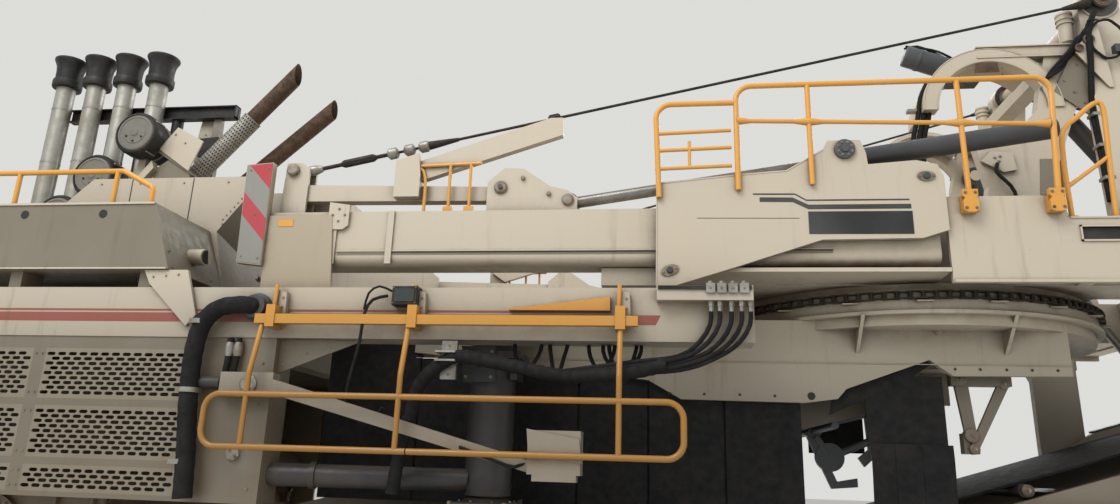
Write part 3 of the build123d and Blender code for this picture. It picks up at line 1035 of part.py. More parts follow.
with BuildPart() as luff_barrels:
    start, end = along_luff(60), along_luff(2150)
    rod_along((start[0], -LUFF_CYLINDER_Y, start[1]), (end[0], -LUFF_CYLINDER_Y, end[1]), LUFF_BARREL_R)
    cross_pin(LUFF_TOP[0], LUFF_TOP[1], -LUFF_CYLINDER_Y - 60, -LUFF_CYLINDER_Y + 60, 120)
    cross_pin(LUFF_TOP[0], LUFF_TOP[1], -LUFF_CYLINDER_Y - 120, -LUFF_CYLINDER_Y + 120, LUFF_TOP_R + EYE_GAP,
              mode=Mode.SUBTRACT)
    start, end = along_luff(400), along_luff(2200)
    rod_along((start[0], -LUFF_CYLINDER_Y, start[1]), (end[0], -LUFF_CYLINDER_Y, end[1]),
              LUFF_ROD_R + EYE_GAP, mode=Mode.SUBTRACT)
    mirror(about=Plane.XZ)
publish(luff_barrels.part, "luff_barrels")

with BuildPart() as luff_rods:
    start, end = along_luff(1300), along_luff(LUFF_REACH - 90)
    rod_along((start[0], -LUFF_CYLINDER_Y, start[1]), (end[0], -LUFF_CYLINDER_Y, end[1]), LUFF_ROD_R)
    cross_pin(LUFF_EYE[0], LUFF_EYE[1], -LUFF_CYLINDER_Y - 40, -LUFF_CYLINDER_Y + 40, 110)
    cross_pin(LUFF_EYE[0], LUFF_EYE[1], -LUFF_CYLINDER_Y - 80, -LUFF_CYLINDER_Y + 80, LUFF_EYE_R,
              mode=Mode.SUBTRACT)
    mirror(about=Plane.XZ)
publish(luff_rods.part, "luff_rods")

# Discharge conveyor
slope = radians(CONVEYOR_SLOPE)
boom_plane = Plane(origin=(LUFF_PIN[0], 0, LUFF_PIN[1]), x_dir=(cos(slope), 0, sin(slope)), z_dir=(0, -1, 0))
BOOM_RUN = (TIP_X - LUFF_PIN[0]) / cos(slope) - PULLEY_R - BELT_THICK
with BuildPart() as conveyor_frame:
    with BuildSketch(boom_plane.offset(FRAME_Y - FRAME_WALL)) as boom_side:
        with BuildLine():
            Polyline((TAIL_RUN - 250, -FRAME_DEPTH), (3500, -FRAME_DEPTH - 120),
                     (BOOM_RUN + 60, -FRAME_DEPTH + 60), (BOOM_RUN + 60, 60), (9000, FRAME_RISE),
                     (2300, FRAME_RISE), (1500, TAIL_RISE), (TAIL_RUN - 250, TAIL_RISE), close=True)
        make_face()
        with Locations(*[(3000 + 1150 * i, 0) for i in range(7)]):
            Trapezoid(860, 200, 60, mode=Mode.SUBTRACT)
    extrude(amount=FRAME_WALL)
    with BuildSketch(boom_plane.offset(FRAME_Y)) as eye_boss:
        with Locations((LUFF_EYE_RUN, LUFF_EYE_RISE)):
            Circle(LUFF_EYE_R - 35)
    extrude(amount=120)
    with BuildSketch(boom_plane.offset(FRAME_Y - FRAME_WALL)) as eye_lug:
        with Locations((LUFF_EYE_RUN, LUFF_EYE_RISE - 80), (REAR_STAY_RUN, REAR_STAY_RISE - 150)):
            Rectangle(320, 420)
    extrude(amount=FRAME_WALL)
    with BuildSketch(boom_plane.offset(FRAME_Y - FRAME_WALL - 50)) as stay_pin:
        with Locations((REAR_STAY_RUN, REAR_STAY_RISE)):
            Circle(PIN_R)
    extrude(amount=60)
    with BuildSketch(boom_plane.offset(FRAME_Y)) as pivot_stub:
        Circle(LUFF_PIN_R)
    extrude(amount=LEG_OUTER_Y + 30 - FRAME_Y)
    mirror(about=Plane.XZ)
publish(conveyor_frame.part, "conveyor_frame")

# Cross ties, and the idlers under the belt's upper run
with BuildPart() as conveyor_ties:
    with BuildSketch(boom_plane.offset(-FRAME_Y + FRAME_WALL)) as boom_ties:
        with Locations(*[(1300 + 1400 * i, -110) for i in range(8)]):
            Rectangle(120, 100)
        with Locations(*[(600 + 1400 * i, PULLEY_R - IDLER_R - EYE_GAP) for i in range(9)]):
            Circle(IDLER_R)
    extrude(amount=2 * (FRAME_Y - FRAME_WALL))
publish(conveyor_ties.part, "conveyor_ties")

with BuildPart() as conveyor_belt:
    with BuildSketch(boom_plane.offset(-BELT_WIDTH / 2)) as boom_loop:
        with Locations(((BOOM_RUN + TAIL_RUN) / 2, 0)):
            SlotCenterToCenter(BOOM_RUN - TAIL_RUN, 2 * (PULLEY_R + BELT_THICK))
            SlotCenterToCenter(BOOM_RUN - TAIL_RUN, 2 * PULLEY_R, mode=Mode.SUBTRACT)
    extrude(amount=BELT_WIDTH)
publish(conveyor_belt.part, "conveyor_belt")

with BuildPart() as conveyor_pulleys:
    with BuildSketch(boom_plane.offset(-BELT_WIDTH / 2 + 20)) as pulley_face:
        with Locations((TAIL_RUN, 0), (BOOM_RUN, 0)):
            Circle(PULLEY_R - 0.5)
    extrude(amount=BELT_WIDTH - 40)
    with BuildSketch(boom_plane.offset(-FRAME_Y + FRAME_WALL + 1)) as axle_face:
        with Locations((TAIL_RUN, 0), (BOOM_RUN, 0)):
            Circle(60)
    extrude(amount=2 * (FRAME_Y - FRAME_WALL - 1))
publish(conveyor_pulleys.part, "conveyor_pulleys")

with BuildPart() as work_lamps:
    for lamp_x, lamp_z in [(-3150, 3020)]:
        block((lamp_x - 110, lamp_x + 110), (-BEAM_Y - 120, -BEAM_Y), (lamp_z - 80, lamp_z + 80))
    mirror(about=Plane.XZ)
    for lamp_y in (-2300, -1200, 1200, 2300):
        block((FRONT_X, FRONT_X + 90), (lamp_y - 110, lamp_y + 110), (BEAM_TOP + 60, BEAM_TOP + 240))
publish(work_lamps.part, "work_lamps")
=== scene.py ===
"""Dresses the surface miner: painted steel, rubber, glass and dirt, and the small parts on its surfaces.

Metres, in the frame of the model: +X is the rear, -Y the machine's left side, +Z up.
"""
import json
from itertools import product
from math import cos, pi, radians, sin

import bmesh
import bpy
from mathutils import Matrix, Vector


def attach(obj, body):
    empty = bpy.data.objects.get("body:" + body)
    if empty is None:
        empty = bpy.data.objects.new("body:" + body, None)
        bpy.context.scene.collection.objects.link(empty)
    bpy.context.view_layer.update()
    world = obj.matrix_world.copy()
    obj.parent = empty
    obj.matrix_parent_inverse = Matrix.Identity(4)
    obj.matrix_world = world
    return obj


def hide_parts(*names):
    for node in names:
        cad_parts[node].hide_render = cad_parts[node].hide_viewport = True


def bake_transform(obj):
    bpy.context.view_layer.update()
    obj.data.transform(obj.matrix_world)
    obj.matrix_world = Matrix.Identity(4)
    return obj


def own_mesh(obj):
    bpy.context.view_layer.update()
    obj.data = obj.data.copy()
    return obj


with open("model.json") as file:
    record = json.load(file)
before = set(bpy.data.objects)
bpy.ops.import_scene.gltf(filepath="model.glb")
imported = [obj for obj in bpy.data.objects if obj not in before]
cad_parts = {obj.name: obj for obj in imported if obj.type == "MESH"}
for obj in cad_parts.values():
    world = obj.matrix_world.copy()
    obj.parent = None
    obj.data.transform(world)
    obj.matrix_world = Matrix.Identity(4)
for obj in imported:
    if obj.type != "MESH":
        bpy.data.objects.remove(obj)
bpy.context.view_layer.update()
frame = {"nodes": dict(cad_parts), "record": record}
NODES = frame["nodes"]
MATERIALS = {}


# Shader helpers

def fill(tree, node, inputs):
    """Sets or links a node's inputs, by their names or numbers."""
    for name, value in inputs.items():
        if isinstance(value, bpy.types.NodeSocket):
            tree.links.new(value, node.inputs[name])
        else:
            node.inputs[name].default_value = value


def add(tree, kind, output, inputs):
    node = tree.nodes.new("ShaderNode" + kind)
    fill(tree, node, inputs)
    return node.outputs[output]


def material(name):
    made = bpy.data.materials.new(name)
    made.use_nodes = True
    MATERIALS[name] = made
    return made.node_tree, made.node_tree.nodes["Principled BSDF"]


def ramp(tree, source, low, high, low_value=0.0, high_value=1.0):
    return add(tree, "MapRange", "Result", {"Value": source, "From Min": low, "From Max": high, "To Min": low_value,
                                            "To Max": high_value})


def noise(tree, scale, stretch=(1, 1, 1), detail=5.0, roughness=0.6, shift=0.0):
    where = add(tree, "TexCoord", "Object", {})
    place = add(tree, "Mapping", "Vector", {"Vector": where, "Scale": stretch,
                                            "Location": (shift, shift * 1.7, shift * 0.6)})
    return add(tree, "TexNoise", "Fac", {"Vector": place, "Scale": scale, "Detail": detail, "Roughness": roughness})


def spots(tree, low, high, scale, **how):
    return ramp(tree, noise(tree, scale, **how), low, high)


def times(tree, first, second):
    result = add(tree, "Math", "Value", {0: first, 1: second})
    result.node.operation = "MULTIPLY"
    return result


def blend_colour(tree, mask, first, second):
    node = tree.nodes.new("ShaderNodeMix")
    node.data_type = "RGBA"
    first, second = ((*value, 1.0) if isinstance(value, tuple) else value for value in (first, second))
    fill(tree, node, {"Factor": mask, 6: first, 7: second})
    return node.outputs[2]


def upward(tree, kind):
    """The Z part of a place on the object or of its surface's direction."""
    return add(tree, "SeparateXYZ", "Z", {"Vector": add(tree, "TexCoord", kind, {})})


def occlusion(tree, reach):
    result = add(tree, "AmbientOcclusion", "AO", {"Distance": reach})
    result.node.samples = 4
    return result


def scaled(colour, factor):
    return tuple(factor * value for value in colour)


def surface(tree, shader, body, source, low, high, grain, strength, distance):
    """Links colour, roughness between two values and a fine bump."""
    normal = add(tree, "Bump", "Normal", {"Strength": strength, "Distance": distance, "Height": grain})
    fill(tree, shader, {"Base Color": body, "Roughness": ramp(tree, source, 0.3, 0.7, low, high), "Normal": normal})


def paint(name, colour, dirt=(0.16, 0.1, 0.055), dirt_share=1.0, rough=0.42, coat=0.0, painted_shade=1.0):
    """Weathered paint: painted shade in deep recesses and low down, patchy fading, soot in recesses, runs down the
    sides, dust on top and low down.
    """
    tree, shader = material(name)
    shader.inputs["Coat Weight"].default_value = coat
    faded = tuple(min(1.0, 0.06 + 0.9 * value) for value in colour)
    body = blend_colour(tree, spots(tree, 0.35, 0.7, 0.9, detail=4.0), colour, faded)
    layers = (  # masks that work together, strength, colour laid over what is below
        # painted shade: the own colour darkened where other parts are near, within 1.3 m
        ((ramp(tree, occlusion(tree, 1.3), 0.8, 0.25),), 0.72 * painted_shade, scaled(colour, 0.16)),
        # painted shade: the own colour darkened on the parts below 3.3 m
        ((ramp(tree, upward(tree, "Object"), 3.3, 2.25),), 0.72 * painted_shade, scaled(colour, 0.25)),
        ((spots(tree, 0.56, 0.8, 7.0, stretch=(1, 1, 0.09), detail=6.0, roughness=0.65),
          spots(tree, 0.42, 0.62, 0.7, detail=3.0, shift=3.1)), 0.55 * dirt_share, dirt),
        ((ramp(tree, occlusion(tree, 0.18), 0.95, 0.35),
          spots(tree, 0.35, 0.65, 5.0, detail=6.0, shift=1.3)), 0.75 * dirt_share, dirt),
        ((ramp(tree, upward(tree, "Object"), 2.6, 0.2),
          spots(tree, 0.3, 0.75, 3.0, detail=7.0, shift=5.0)), 0.7 * dirt_share, scaled(dirt, 1.4)),
        ((ramp(tree, upward(tree, "Normal"), 0.6, 1.0),
          spots(tree, 0.3, 0.8, 2.0, detail=7.0, shift=7.0)), 0.5 * dirt_share, scaled(dirt, 1.8)),
        ((spots(tree, 0.73, 0.77, 38.0, detail=3.0, roughness=0.7, shift=2.0),), 1.0, (0.11, 0.045, 0.02)),
    )
    for masks, strength, over in layers:
        for mask in masks:
            strength = times(tree, mask, strength)
        body = blend_colour(tree, strength, body, over)
    surface(tree, shader, body, noise(tree, 12.0, detail=5.0, shift=9.0), rough - 0.08, rough + 0.2,
            noise(tree, 45.0, detail=4.0), 0.12, 0.002)


def worn_metal(name, colour, second, metallic=0.8, rough=0.45, scale=9.0, bump_strength=0.25):
    """Bare or oiled metal in two tones."""
    tree, shader = material(name)
    shader.inputs["Metallic"].default_value = metallic
    mask = spots(tree, 0.38, 0.66, scale, detail=8.0, roughness=0.68)
    surface(tree, shader, blend_colour(tree, mask, colour, second),
            noise(tree, scale * 3, detail=5.0, shift=2.0), rough - 0.1, rough + 0.25,
            noise(tree, scale * 6, detail=5.0), bump_strength, 0.003)


def soft_black(name, colour, dust, rough):
    """Rubber or plastic with dust on it."""
    tree, shader = material(name)
    shader.inputs["Specular IOR Level"].default_value = 0.35
    mask = spots(tree, 0.42, 0.8, 4.0, detail=8.0, roughness=0.7)
    surface(tree, shader, blend_colour(tree, mask, colour, dust),
            noise(tree, 14.0, detail=4.0, shift=4.0), rough - 0.12, rough + 0.15,
            noise(tree, 30.0, detail=6.0), 0.2, 0.003)


def glazing(name):
    tree, shader = material(name)
    tint = blend_colour(tree, spots(tree, 0.3, 0.8, 2.5, detail=5.0), (0.3, 0.36, 0.36), (0.22, 0.27, 0.27))
    smears = ramp(tree, noise(tree, 9.0, detail=4.0), 0.3, 0.8, 0.03, 0.16)
    fill(tree, shader, {"Transmission Weight": 0.82, "IOR": 1.45, "Base Color": tint, "Roughness": smears})


CREAM, DARK, ORANGE, SHADED_CREAM, GROUND = "cream_paint", "dark_paint", "orange_paint", "shaded_cream", "ground_paint"
SEAL, BOLT, ZINC, RUBBER, PLASTIC = "seal_black", "bolt_steel", "dull_zinc", "rubber_sheet", "black_plastic"
PULLEY, ROPE, CHAIN, EXHAUST, STACK = "pulley_steel", "rope_steel", "chain_steel", "exhaust_steel", "stack_steel"
SLATE, GLASS = "slate_paint", "lamp_glass"

for name, colour, how in (
        (CREAM, (0.66, 0.58, 0.455), {}),
        # painted shade: the grille sheets' cream darkened to under half
        ("grille_paint", (0.3, 0.26, 0.195), dict(dirt_share=1.2, painted_shade=0.25)),
        (ORANGE, (0.86, 0.4, 0.05), dict(dirt_share=0.5, rough=0.35, coat=0.2)),
        (DARK, (0.055, 0.062, 0.07), dict(dirt=(0.13, 0.09, 0.055), dirt_share=0.8, rough=0.4)),
        # painted shade: a copy of the cream paint darkened to about a third, for faces that lie in shade
        (SHADED_CREAM, (0.235, 0.205, 0.15), dict(dirt_share=1.2, painted_shade=0.35)),
        (GROUND, (0.4, 0.35, 0.265), dict(dirt_share=1.5)),
        ("worn_cream", (0.5, 0.42, 0.305), dict(dirt_share=1.3)),
        (SLATE, (0.115, 0.135, 0.15), dict(dirt=(0.16, 0.12, 0.08), dirt_share=0.8, painted_shade=0.1)),
        ("sign_red", (0.52, 0.035, 0.05), dict(dirt_share=0.6, rough=0.4)),
        ("sign_grey", (0.3, 0.295, 0.27), dict(rough=0.5)),
        ("stripe_red", (0.42, 0.105, 0.075), dict(rough=0.45)),
        ("stripe_dark", (0.045, 0.047, 0.05), dict(dirt_share=0.8, rough=0.45)),
        ("plate_dark", (0.02, 0.024, 0.024), dict(dirt_share=0.6, rough=0.35)),
        (SEAL, (0.012, 0.011, 0.01), dict(dirt_share=0.4, rough=0.6))):
    paint(name, colour, **how)
for row in (
        ("track_steel", (0.085, 0.07, 0.055), (0.19, 0.13, 0.075), 0.55, 0.55),
        ("drum_steel", (0.13, 0.1, 0.075), (0.24, 0.16, 0.09), 0.55, 0.55),
        (CHAIN, (0.018, 0.014, 0.011), (0.05, 0.035, 0.022), 0.3, 0.5),
        ("engine_iron", (0.2, 0.2, 0.19), (0.1, 0.09, 0.07), 0.4, 0.55),
        (STACK, (0.47, 0.46, 0.42), (0.33, 0.31, 0.26), 0.6, 0.45, 3.0, 0.03),
        ("rod_chrome", (0.72, 0.72, 0.72), (0.58, 0.56, 0.52), 1.0, 0.16, 2.0, 0.02),
        (EXHAUST, (0.075, 0.046, 0.03), (0.17, 0.105, 0.066), 0.3, 0.72),
        (ROPE, (0.022, 0.02, 0.019), (0.06, 0.05, 0.04), 0.5, 0.5, 20.0),
        (PULLEY, (0.12, 0.11, 0.1), (0.22, 0.15, 0.1), 0.6, 0.5),
        ("rod_steel", (0.3, 0.29, 0.27), (0.16, 0.14, 0.12), 0.9, 0.25, 3.0, 0.03),
        (BOLT, (0.36, 0.33, 0.28), (0.2, 0.13, 0.08), 0.6, 0.45),
        (ZINC, (0.42, 0.41, 0.38), (0.26, 0.23, 0.19), 0.7, 0.4)):
    worn_metal(*row)
soft_black(PLASTIC, (0.018, 0.018, 0.018), (0.06, 0.052, 0.042), 0.5)
soft_black(RUBBER, (0.008, 0.008, 0.009), (0.02, 0.018, 0.016), 0.8)
soft_black("grey_cover", (0.2, 0.195, 0.175), (0.27, 0.25, 0.21), 0.55)
glazing("cab_glazing")
glazing(GLASS)

# the side decks and cooler walls take the shaded cream: painted shade
FINISH = {"side_decks": SHADED_CREAM, "cooler_walls": SHADED_CREAM, "primary_conveyor": GROUND, "drum_housing": GROUND,
          "valve_block": CREAM, "end_blocks": "worn_cream", "counter_rods": "rod_steel", "luff_rods": "rod_steel"}
for part in frame["record"]["subparts"]:
    solid = NODES[part["node"]]
    solid.data.materials.clear()
    solid.data.materials.append(MATERIALS[FINISH.get(part["node"], part["material_slot"])])

# Camera: low on the machine's left side, looking up, leaning a little
FOCAL_PX = 780.0
PHOTO_WIDTH = 1120.0
SENSOR = 36.0
yaw, pitch, roll = radians(7.8), radians(15.6), radians(1.85)
forward = Vector((-sin(yaw) * cos(pitch), cos(yaw) * cos(pitch), sin(pitch)))
level_right = forward.cross(Vector((0, 0, 1))).normalized()
level_up = level_right.cross(forward)
right = level_right * cos(roll) + level_up * sin(roll)
lens = bpy.data.cameras.new("camera")
lens.sensor_width = SENSOR
lens.lens = SENSOR * FOCAL_PX / PHOTO_WIDTH
camera = bpy.data.objects.new("camera", lens)
turn = Matrix((right, right.cross(forward), -forward)).transposed().to_4x4()
camera.matrix_world = Matrix.Translation((-1.0, -8.9, 1.65)) @ turn
bpy.context.collection.objects.link(camera)
bpy.context.scene.camera = camera

# Floor, world and soft lights
HALF_FLOOR = 60
floor_mesh = bpy.data.meshes.new("floor")
floor_mesh.from_pydata([(x * HALF_FLOOR, y * HALF_FLOOR, 0) for x, y in ((-1, -1), (1, -1), (1, 1), (-1, 1))], [],
                       [(0, 1, 2, 3)])
floor = bpy.data.objects.new("floor", floor_mesh)
bpy.context.collection.objects.link(floor)
tree, shader = material("floor")
tint = blend_colour(tree, spots(tree, 0.3, 0.7, 0.15, detail=4.0), (0.62, 0.61, 0.59), (0.66, 0.65, 0.63))
fill(tree, shader, {"Base Color": tint, "Roughness": 0.9})
floor_mesh.materials.append(MATERIALS["floor"])

world = bpy.data.worlds.new("world")
bpy.context.scene.world = world
world.use_nodes = True
fill(world.node_tree, world.node_tree.nodes["Background"], {"Color": (0.8, 0.8, 0.775, 1.0), "Strength": 0.9})
for name, place, power in (("key", (-10, -16, 20), 2600), ("back", (8, 18, 16), 1800)):
    lamp = bpy.data.lights.new(name, "AREA")
    lamp.energy = power
    lamp.size = 12
    holder = bpy.data.objects.new(name, lamp)
    holder.location = place
    holder.rotation_euler = (Vector((0, 0, 3)) - Vector(place)).to_track_quat("-Z", "Y").to_euler()
    bpy.context.collection.objects.link(holder)
bpy.context.scene.view_settings.view_transform = "Standard"


# Mesh helpers

LEFT, RIGHT, FRONT, REAR, UP = (0, -1, 0), (0, 1, 0), (-1, 0, 0), (1, 0, 0), (0, 0, 1)
SHARP_ANGLE = radians(32)


def circle(centre, axis, radius, count, turn=0.0):
    """Points round an axis, from a start that the axis alone decides."""
    centre, axis = Vector(centre), Vector(axis)
    side = axis.orthogonal().normalized()
    other = axis.normalized().cross(side)
    angles = [2 * pi * (i + turn) / count for i in range(count)]
    return [centre + (side * cos(angle) + other * sin(angle)) * radius for angle in angles]


def knob(radius, share, tip):
    """A round part's profile: straight up to a share of its length, then drawn in."""
    return (0, radius), (share, radius), (1, tip)


def stepped(radius, share, next_share, thin, tip=None):
    """A round part's profile with a step down at a share of its length."""
    return (0, radius), (share, radius), (next_share, thin), (1, tip or thin)


def lug(x, z, low, top, height):
    """A lifting lug's outline: half widths at its foot and top."""
    return [(x - low, z), (x + low, z), (x + top, z + height), (x - top, z + height)]


def flat(y, *places):
    """X and Z places at one Y."""
    return [(x, y, z) for x, z in places]


def smooth_path(points, step):
    """Points along a smooth line through the given ones."""
    points = [Vector(point) for point in points]
    ends = [points[0] * 2 - points[1]] + points + [points[-1] * 2 - points[-2]]
    line = [points[0]]
    for i in range(1, len(ends) - 2):
        before, first, second, after = ends[i - 1:i + 3]
        pieces = max(2, int((second - first).length / step))
        for k in range(1, pieces + 1):
            t = k / pieces
            line.append(0.5 * ((2 * first) + (second - before) * t
                               + (2 * before - 5 * first + 4 * second - after) * t * t
                               + (3 * first - before - 3 * second + after) * t * t * t))
    return line


class Maker:
    """Gathers geometry for one piece that rides on one body."""

    def __init__(self, name, record_slot=CREAM, body="machine", mirrored=False):
        self.name = name
        self.body = body
        self.record_slot = record_slot
        self.mirrored = mirrored
        self.slots = []
        self.mesh = bmesh.new()

    def dress(self, before, slot):
        """Gives the faces made since a count their material."""
        if slot not in self.slots:
            self.slots.append(slot)
        self.mesh.faces.ensure_lookup_table()
        for face in self.mesh.faces[before:]:
            face.material_index = self.slots.index(slot)

    def skin(self, rings, slot):
        """Quads between closed rings of as many points each, and a face over each end."""
        before = len(self.mesh.faces)
        rings = [[self.mesh.verts.new(point) for point in ring] for ring in rings]
        for first, second in zip(rings, rings[1:]):
            for i in range(len(first)):
                j = (i + 1) % len(first)
                self.mesh.faces.new((first[i], first[j], second[j], second[i]))
        self.mesh.faces.new(rings[0][::-1])
        self.mesh.faces.new(rings[-1])
        self.dress(before, slot)

    def boxes(self, slot, *rows):
        """Boxes between two corners each: X, Y, Z and X, Y, Z."""
        for x0, y0, z0, x1, y1, z1 in rows:
            self.skin([[(x, y0, z0), (x, y1, z0), (x, y1, z1), (x, y0, z1)] for x in (x0, x1)], slot)

    def plates(self, slot, y_near, y_far, *outlines):
        """Side plates: outlines in X and Z, between two Y planes."""
        for outline in outlines:
            self.skin([flat(y, *outline) for y in (y_near, y_far)], slot)

    def lathe(self, start, end, profile, slot, count=24):
        """A turned part: shares of the way from start to end with their radii, or one radius for all."""
        if isinstance(profile, float):
            profile = ((0, profile), (1, profile))
        start, axis = Vector(start), Vector(end) - Vector(start)
        self.skin([circle(start + axis * share, axis, radius, count) for share, radius in profile], slot)

    def boss(self, x, z, y0, y1, profile, slot, count=20):
        """A turned part along Y."""
        self.lathe((x, y0, z), (x, y1, z), profile, slot, count)

    def upright(self, x, y, z0, z1, profile, slot, count=28):
        """A turned part along Z."""
        self.lathe((x, y, z0), (x, y, z1), profile, slot, count)

    def beads(self, points, radius, slot, count=8):
        """Rods from point to point."""
        for first, second in zip(points, points[1:]):
            self.lathe(first, second, radius, slot, count)

    def hose(self, points, radius, slot=RUBBER, count=8, step=0.06, rib=0.0, pitch=0.08):
        """A round hose through points; rib and pitch wind a band round it."""
        line = smooth_path(points, step)
        side = (line[1] - line[0]).orthogonal().normalized()
        rings = []
        travelled = 0.0
        for i, place in enumerate(line):
            ahead = (line[min(i + 1, len(line) - 1)] - line[max(i - 1, 0)]).normalized()
            side = (side - ahead * side.dot(ahead)).normalized()
            other = ahead.cross(side)
            if i:
                travelled += (place - line[i - 1]).length
            wide = radius * (1 - rib * (0.5 + 0.5 * cos(2 * pi * travelled / pitch)))
            rings.append([place + (side * cos(2 * pi * k / count) + other * sin(2 * pi * k / count)) * wide
                          for k in range(count)])
        self.skin(rings, slot)

    def bolts(self, size, *places, direction=LEFT, slot=BOLT):
        """Hexagon heads on washers."""
        direction = Vector(direction)
        for place in map(Vector, places):
            washer = place + direction * size * 0.25
            self.lathe(place, washer, size * 0.85, slot, 12)
            self.lathe(washer, place + direction * size * 0.8, ((0, size * 0.55), (1, size * 0.5)), slot, 6)

    def bolt_grid(self, size, xs, ys, zs, **how):
        self.bolts(size, *product(xs, ys, zs), **how)

    def bolt_ring(self, centre, ring_radius, number, size, direction=LEFT, slot=BOLT):
        self.bolts(size, *circle(centre, direction, ring_radius, number, 0.5), direction=direction, slot=slot)

    def finish(self, replaces=(), smooth=True, blend=None, squash=None):
        bmesh.ops.recalc_face_normals(self.mesh, faces=self.mesh.faces[:])
        made = bpy.data.meshes.new(self.name)
        self.mesh.to_mesh(made)
        self.mesh.free()
        for slot in self.slots:
            made.materials.append(MATERIALS[slot])
        piece = bpy.data.objects.new(self.name, made)
        bpy.context.collection.objects.link(piece)
        if self.mirrored:
            modifier = piece.modifiers.new("mirror", "MIRROR")
            modifier.use_axis = (False, True, False)
            modifier.use_mirror_merge = False
        if smooth:
            for face in made.polygons:
                face.use_smooth = True
            made.set_sharp_from_angle(angle=SHARP_ANGLE)
        if blend:
            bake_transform(piece)
        else:
            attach(piece, self.body)
        if squash:
            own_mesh(piece)
        if replaces:
            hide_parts(*replaces)


def clip(outline, a, b, c):
    """The part of a convex outline where a*x + b*z >= c."""
    kept = []
    for i, (x, z) in enumerate(outline):
        nx, nz = outline[(i + 1) % len(outline)]
        here, there = a * x + b * z - c, a * nx + b * nz - c
        if here >= 0:
            kept.append((x, z))
        if (here >= 0) != (there >= 0):
            share = here / (here - there)
            kept.append((x + (nx - x) * share, z + (nz - z) * share))
    return kept


# Sleeve plates: keeper pins, trunnion flange, stripes and the bare dark plate
SLEEVE_FACE = -2.3
trim = Maker("sleeve_trim", CREAM, "upper", mirrored=True)
for pin_x, pin_z, lean in ((-0.94, 3.34, 0.35), (1.24, 4.17, 0.0)):
    wide, high = 0.075, 0.045
    oval = [(pin_x + wide * cos(pi * k / 8) - lean * high * sin(pi * k / 8),
             pin_z + high * sin(pi * k / 8) + lean * wide * cos(pi * k / 8)) for k in range(16)]
    trim.plates(BOLT, SLEEVE_FACE - 0.012, SLEEVE_FACE, oval)
    trim.boss(pin_x, pin_z, SLEEVE_FACE, SLEEVE_FACE - 0.035, knob(0.03, 0.8, 0.022), DARK)
    trim.bolts(0.014, *((pin_x + off, SLEEVE_FACE - 0.012, pin_z + off * lean) for off in (-0.055, 0.055)))
trim.boss(0.58, 4.43, SLEEVE_FACE + 0.01, SLEEVE_FACE - 0.045,
          ((0, 0.088), (0.75, 0.088), (0.8, 0.08), (0.81, 0.035), (1, 0.033)), DARK, 32)
trim.bolt_ring((0.58, SLEEVE_FACE - 0.033, 4.43), 0.062, 8, 0.015)
for thick, points in ((0.013, ((-0.215, 4.035), (0.14, 4.03), (0.235, 3.972), (1.085, 3.968))),
                      (0.042, ((-0.16, 3.998), (0.12, 3.992), (0.25, 3.925), (1.095, 3.922)))):
    for (x0, z0), (x1, z1) in zip(points, points[1:]):
        trim.plates("stripe_dark", SLEEVE_FACE - 0.0015, SLEEVE_FACE,
                    [(x0, z0), (x1, z1), (x1, z1 - thick), (x0, z0 - thick)])
trim.plates("plate_dark", SLEEVE_FACE - 0.003, SLEEVE_FACE,
            [(0.245, 3.862), (1.1, 3.858), (1.1, 3.655), (0.245, 3.66)])
trim.plates(SEAL, SLEEVE_FACE - 0.001, SLEEVE_FACE, [(-0.7, 3.815), (0.17, 3.805), (0.17, 3.8), (-0.7, 3.81)])
trim.beads(flat(SLEEVE_FACE + 0.002, (-1.055, 3.2), (-1.05, 4.14), (-0.32, 4.21), (0.08, 4.24), (0.4, 4.43)),
           0.007, CREAM)
trim.finish()

# Bolted rail feet on the upper structure, waisted like shields
feet = Maker("rail_feet", ORANGE, "upper", mirrored=True)
FOOT_TOP, FOOT_FACE = 4.03, -2.353
SHIELD = ((0.062, 0.0), (0.062, -0.055), (0.045, -0.075), (0.062, -0.1), (0.062, -0.18), (0.03, -0.2))
for foot_x in (1.56, 2.24):
    shield = SHIELD + tuple((-x, z) for x, z in SHIELD[::-1])
    feet.plates(ORANGE, FOOT_FACE, -2.31, [(foot_x + x, FOOT_TOP + z) for x, z in shield])
    feet.bolt_grid(0.016, (foot_x - 0.04, foot_x + 0.04), (FOOT_FACE,), (FOOT_TOP - 0.03, FOOT_TOP - 0.165))
feet.finish()

# Hazard plates on the counterweight's ends
hazard = Maker("hazard_plates", CREAM, "counterweight_carriage", mirrored=True)
BOARD = [(-4.965, 3.44), (-4.725, 3.41), (-4.735, 4.42), (-4.992, 4.4)]
SLANT = 1.06  # the bands run down to the rear
BAND_EDGES = (9.0, -0.862, -1.154, -1.377, -9.0)
for band, (upper_edge, lower_edge) in enumerate(zip(BAND_EDGES, BAND_EDGES[1:])):
    strip = clip(clip(BOARD, SLANT, 1.0, lower_edge), -SLANT, -1.0, -upper_edge)
    hazard.plates("sign_grey" if band % 2 else "sign_red", -2.2835, -2.28, strip)
hazard.bolts(0.01, *flat(-2.283, (-4.93, 3.49), (-4.76, 3.47), (-4.95, 4.35), (-4.77, 4.37), (-4.85, 3.9)))
hazard.finish()

# Counterweight girders: seams, upright strips, corner plate, marker, the small rail on its clamps, linkage pins
girder = Maker("girder_trim", CREAM, "counterweight_carriage", mirrored=True)
GIRDER_FACE, RAIL_Y = -2.205, -2.135
girder.boxes(CREAM, (-4.03, -2.214, 3.548, 0.45, -2.204, 3.562), (-4.1, -2.224, 3.43, -4.04, -2.206, 3.94),
             (-3.55, -2.224, 3.43, -3.49, -2.206, 3.94))
girder.boxes(SEAL, (-3.55, -2.2165, 3.541, 0.45, -2.204, 3.548))
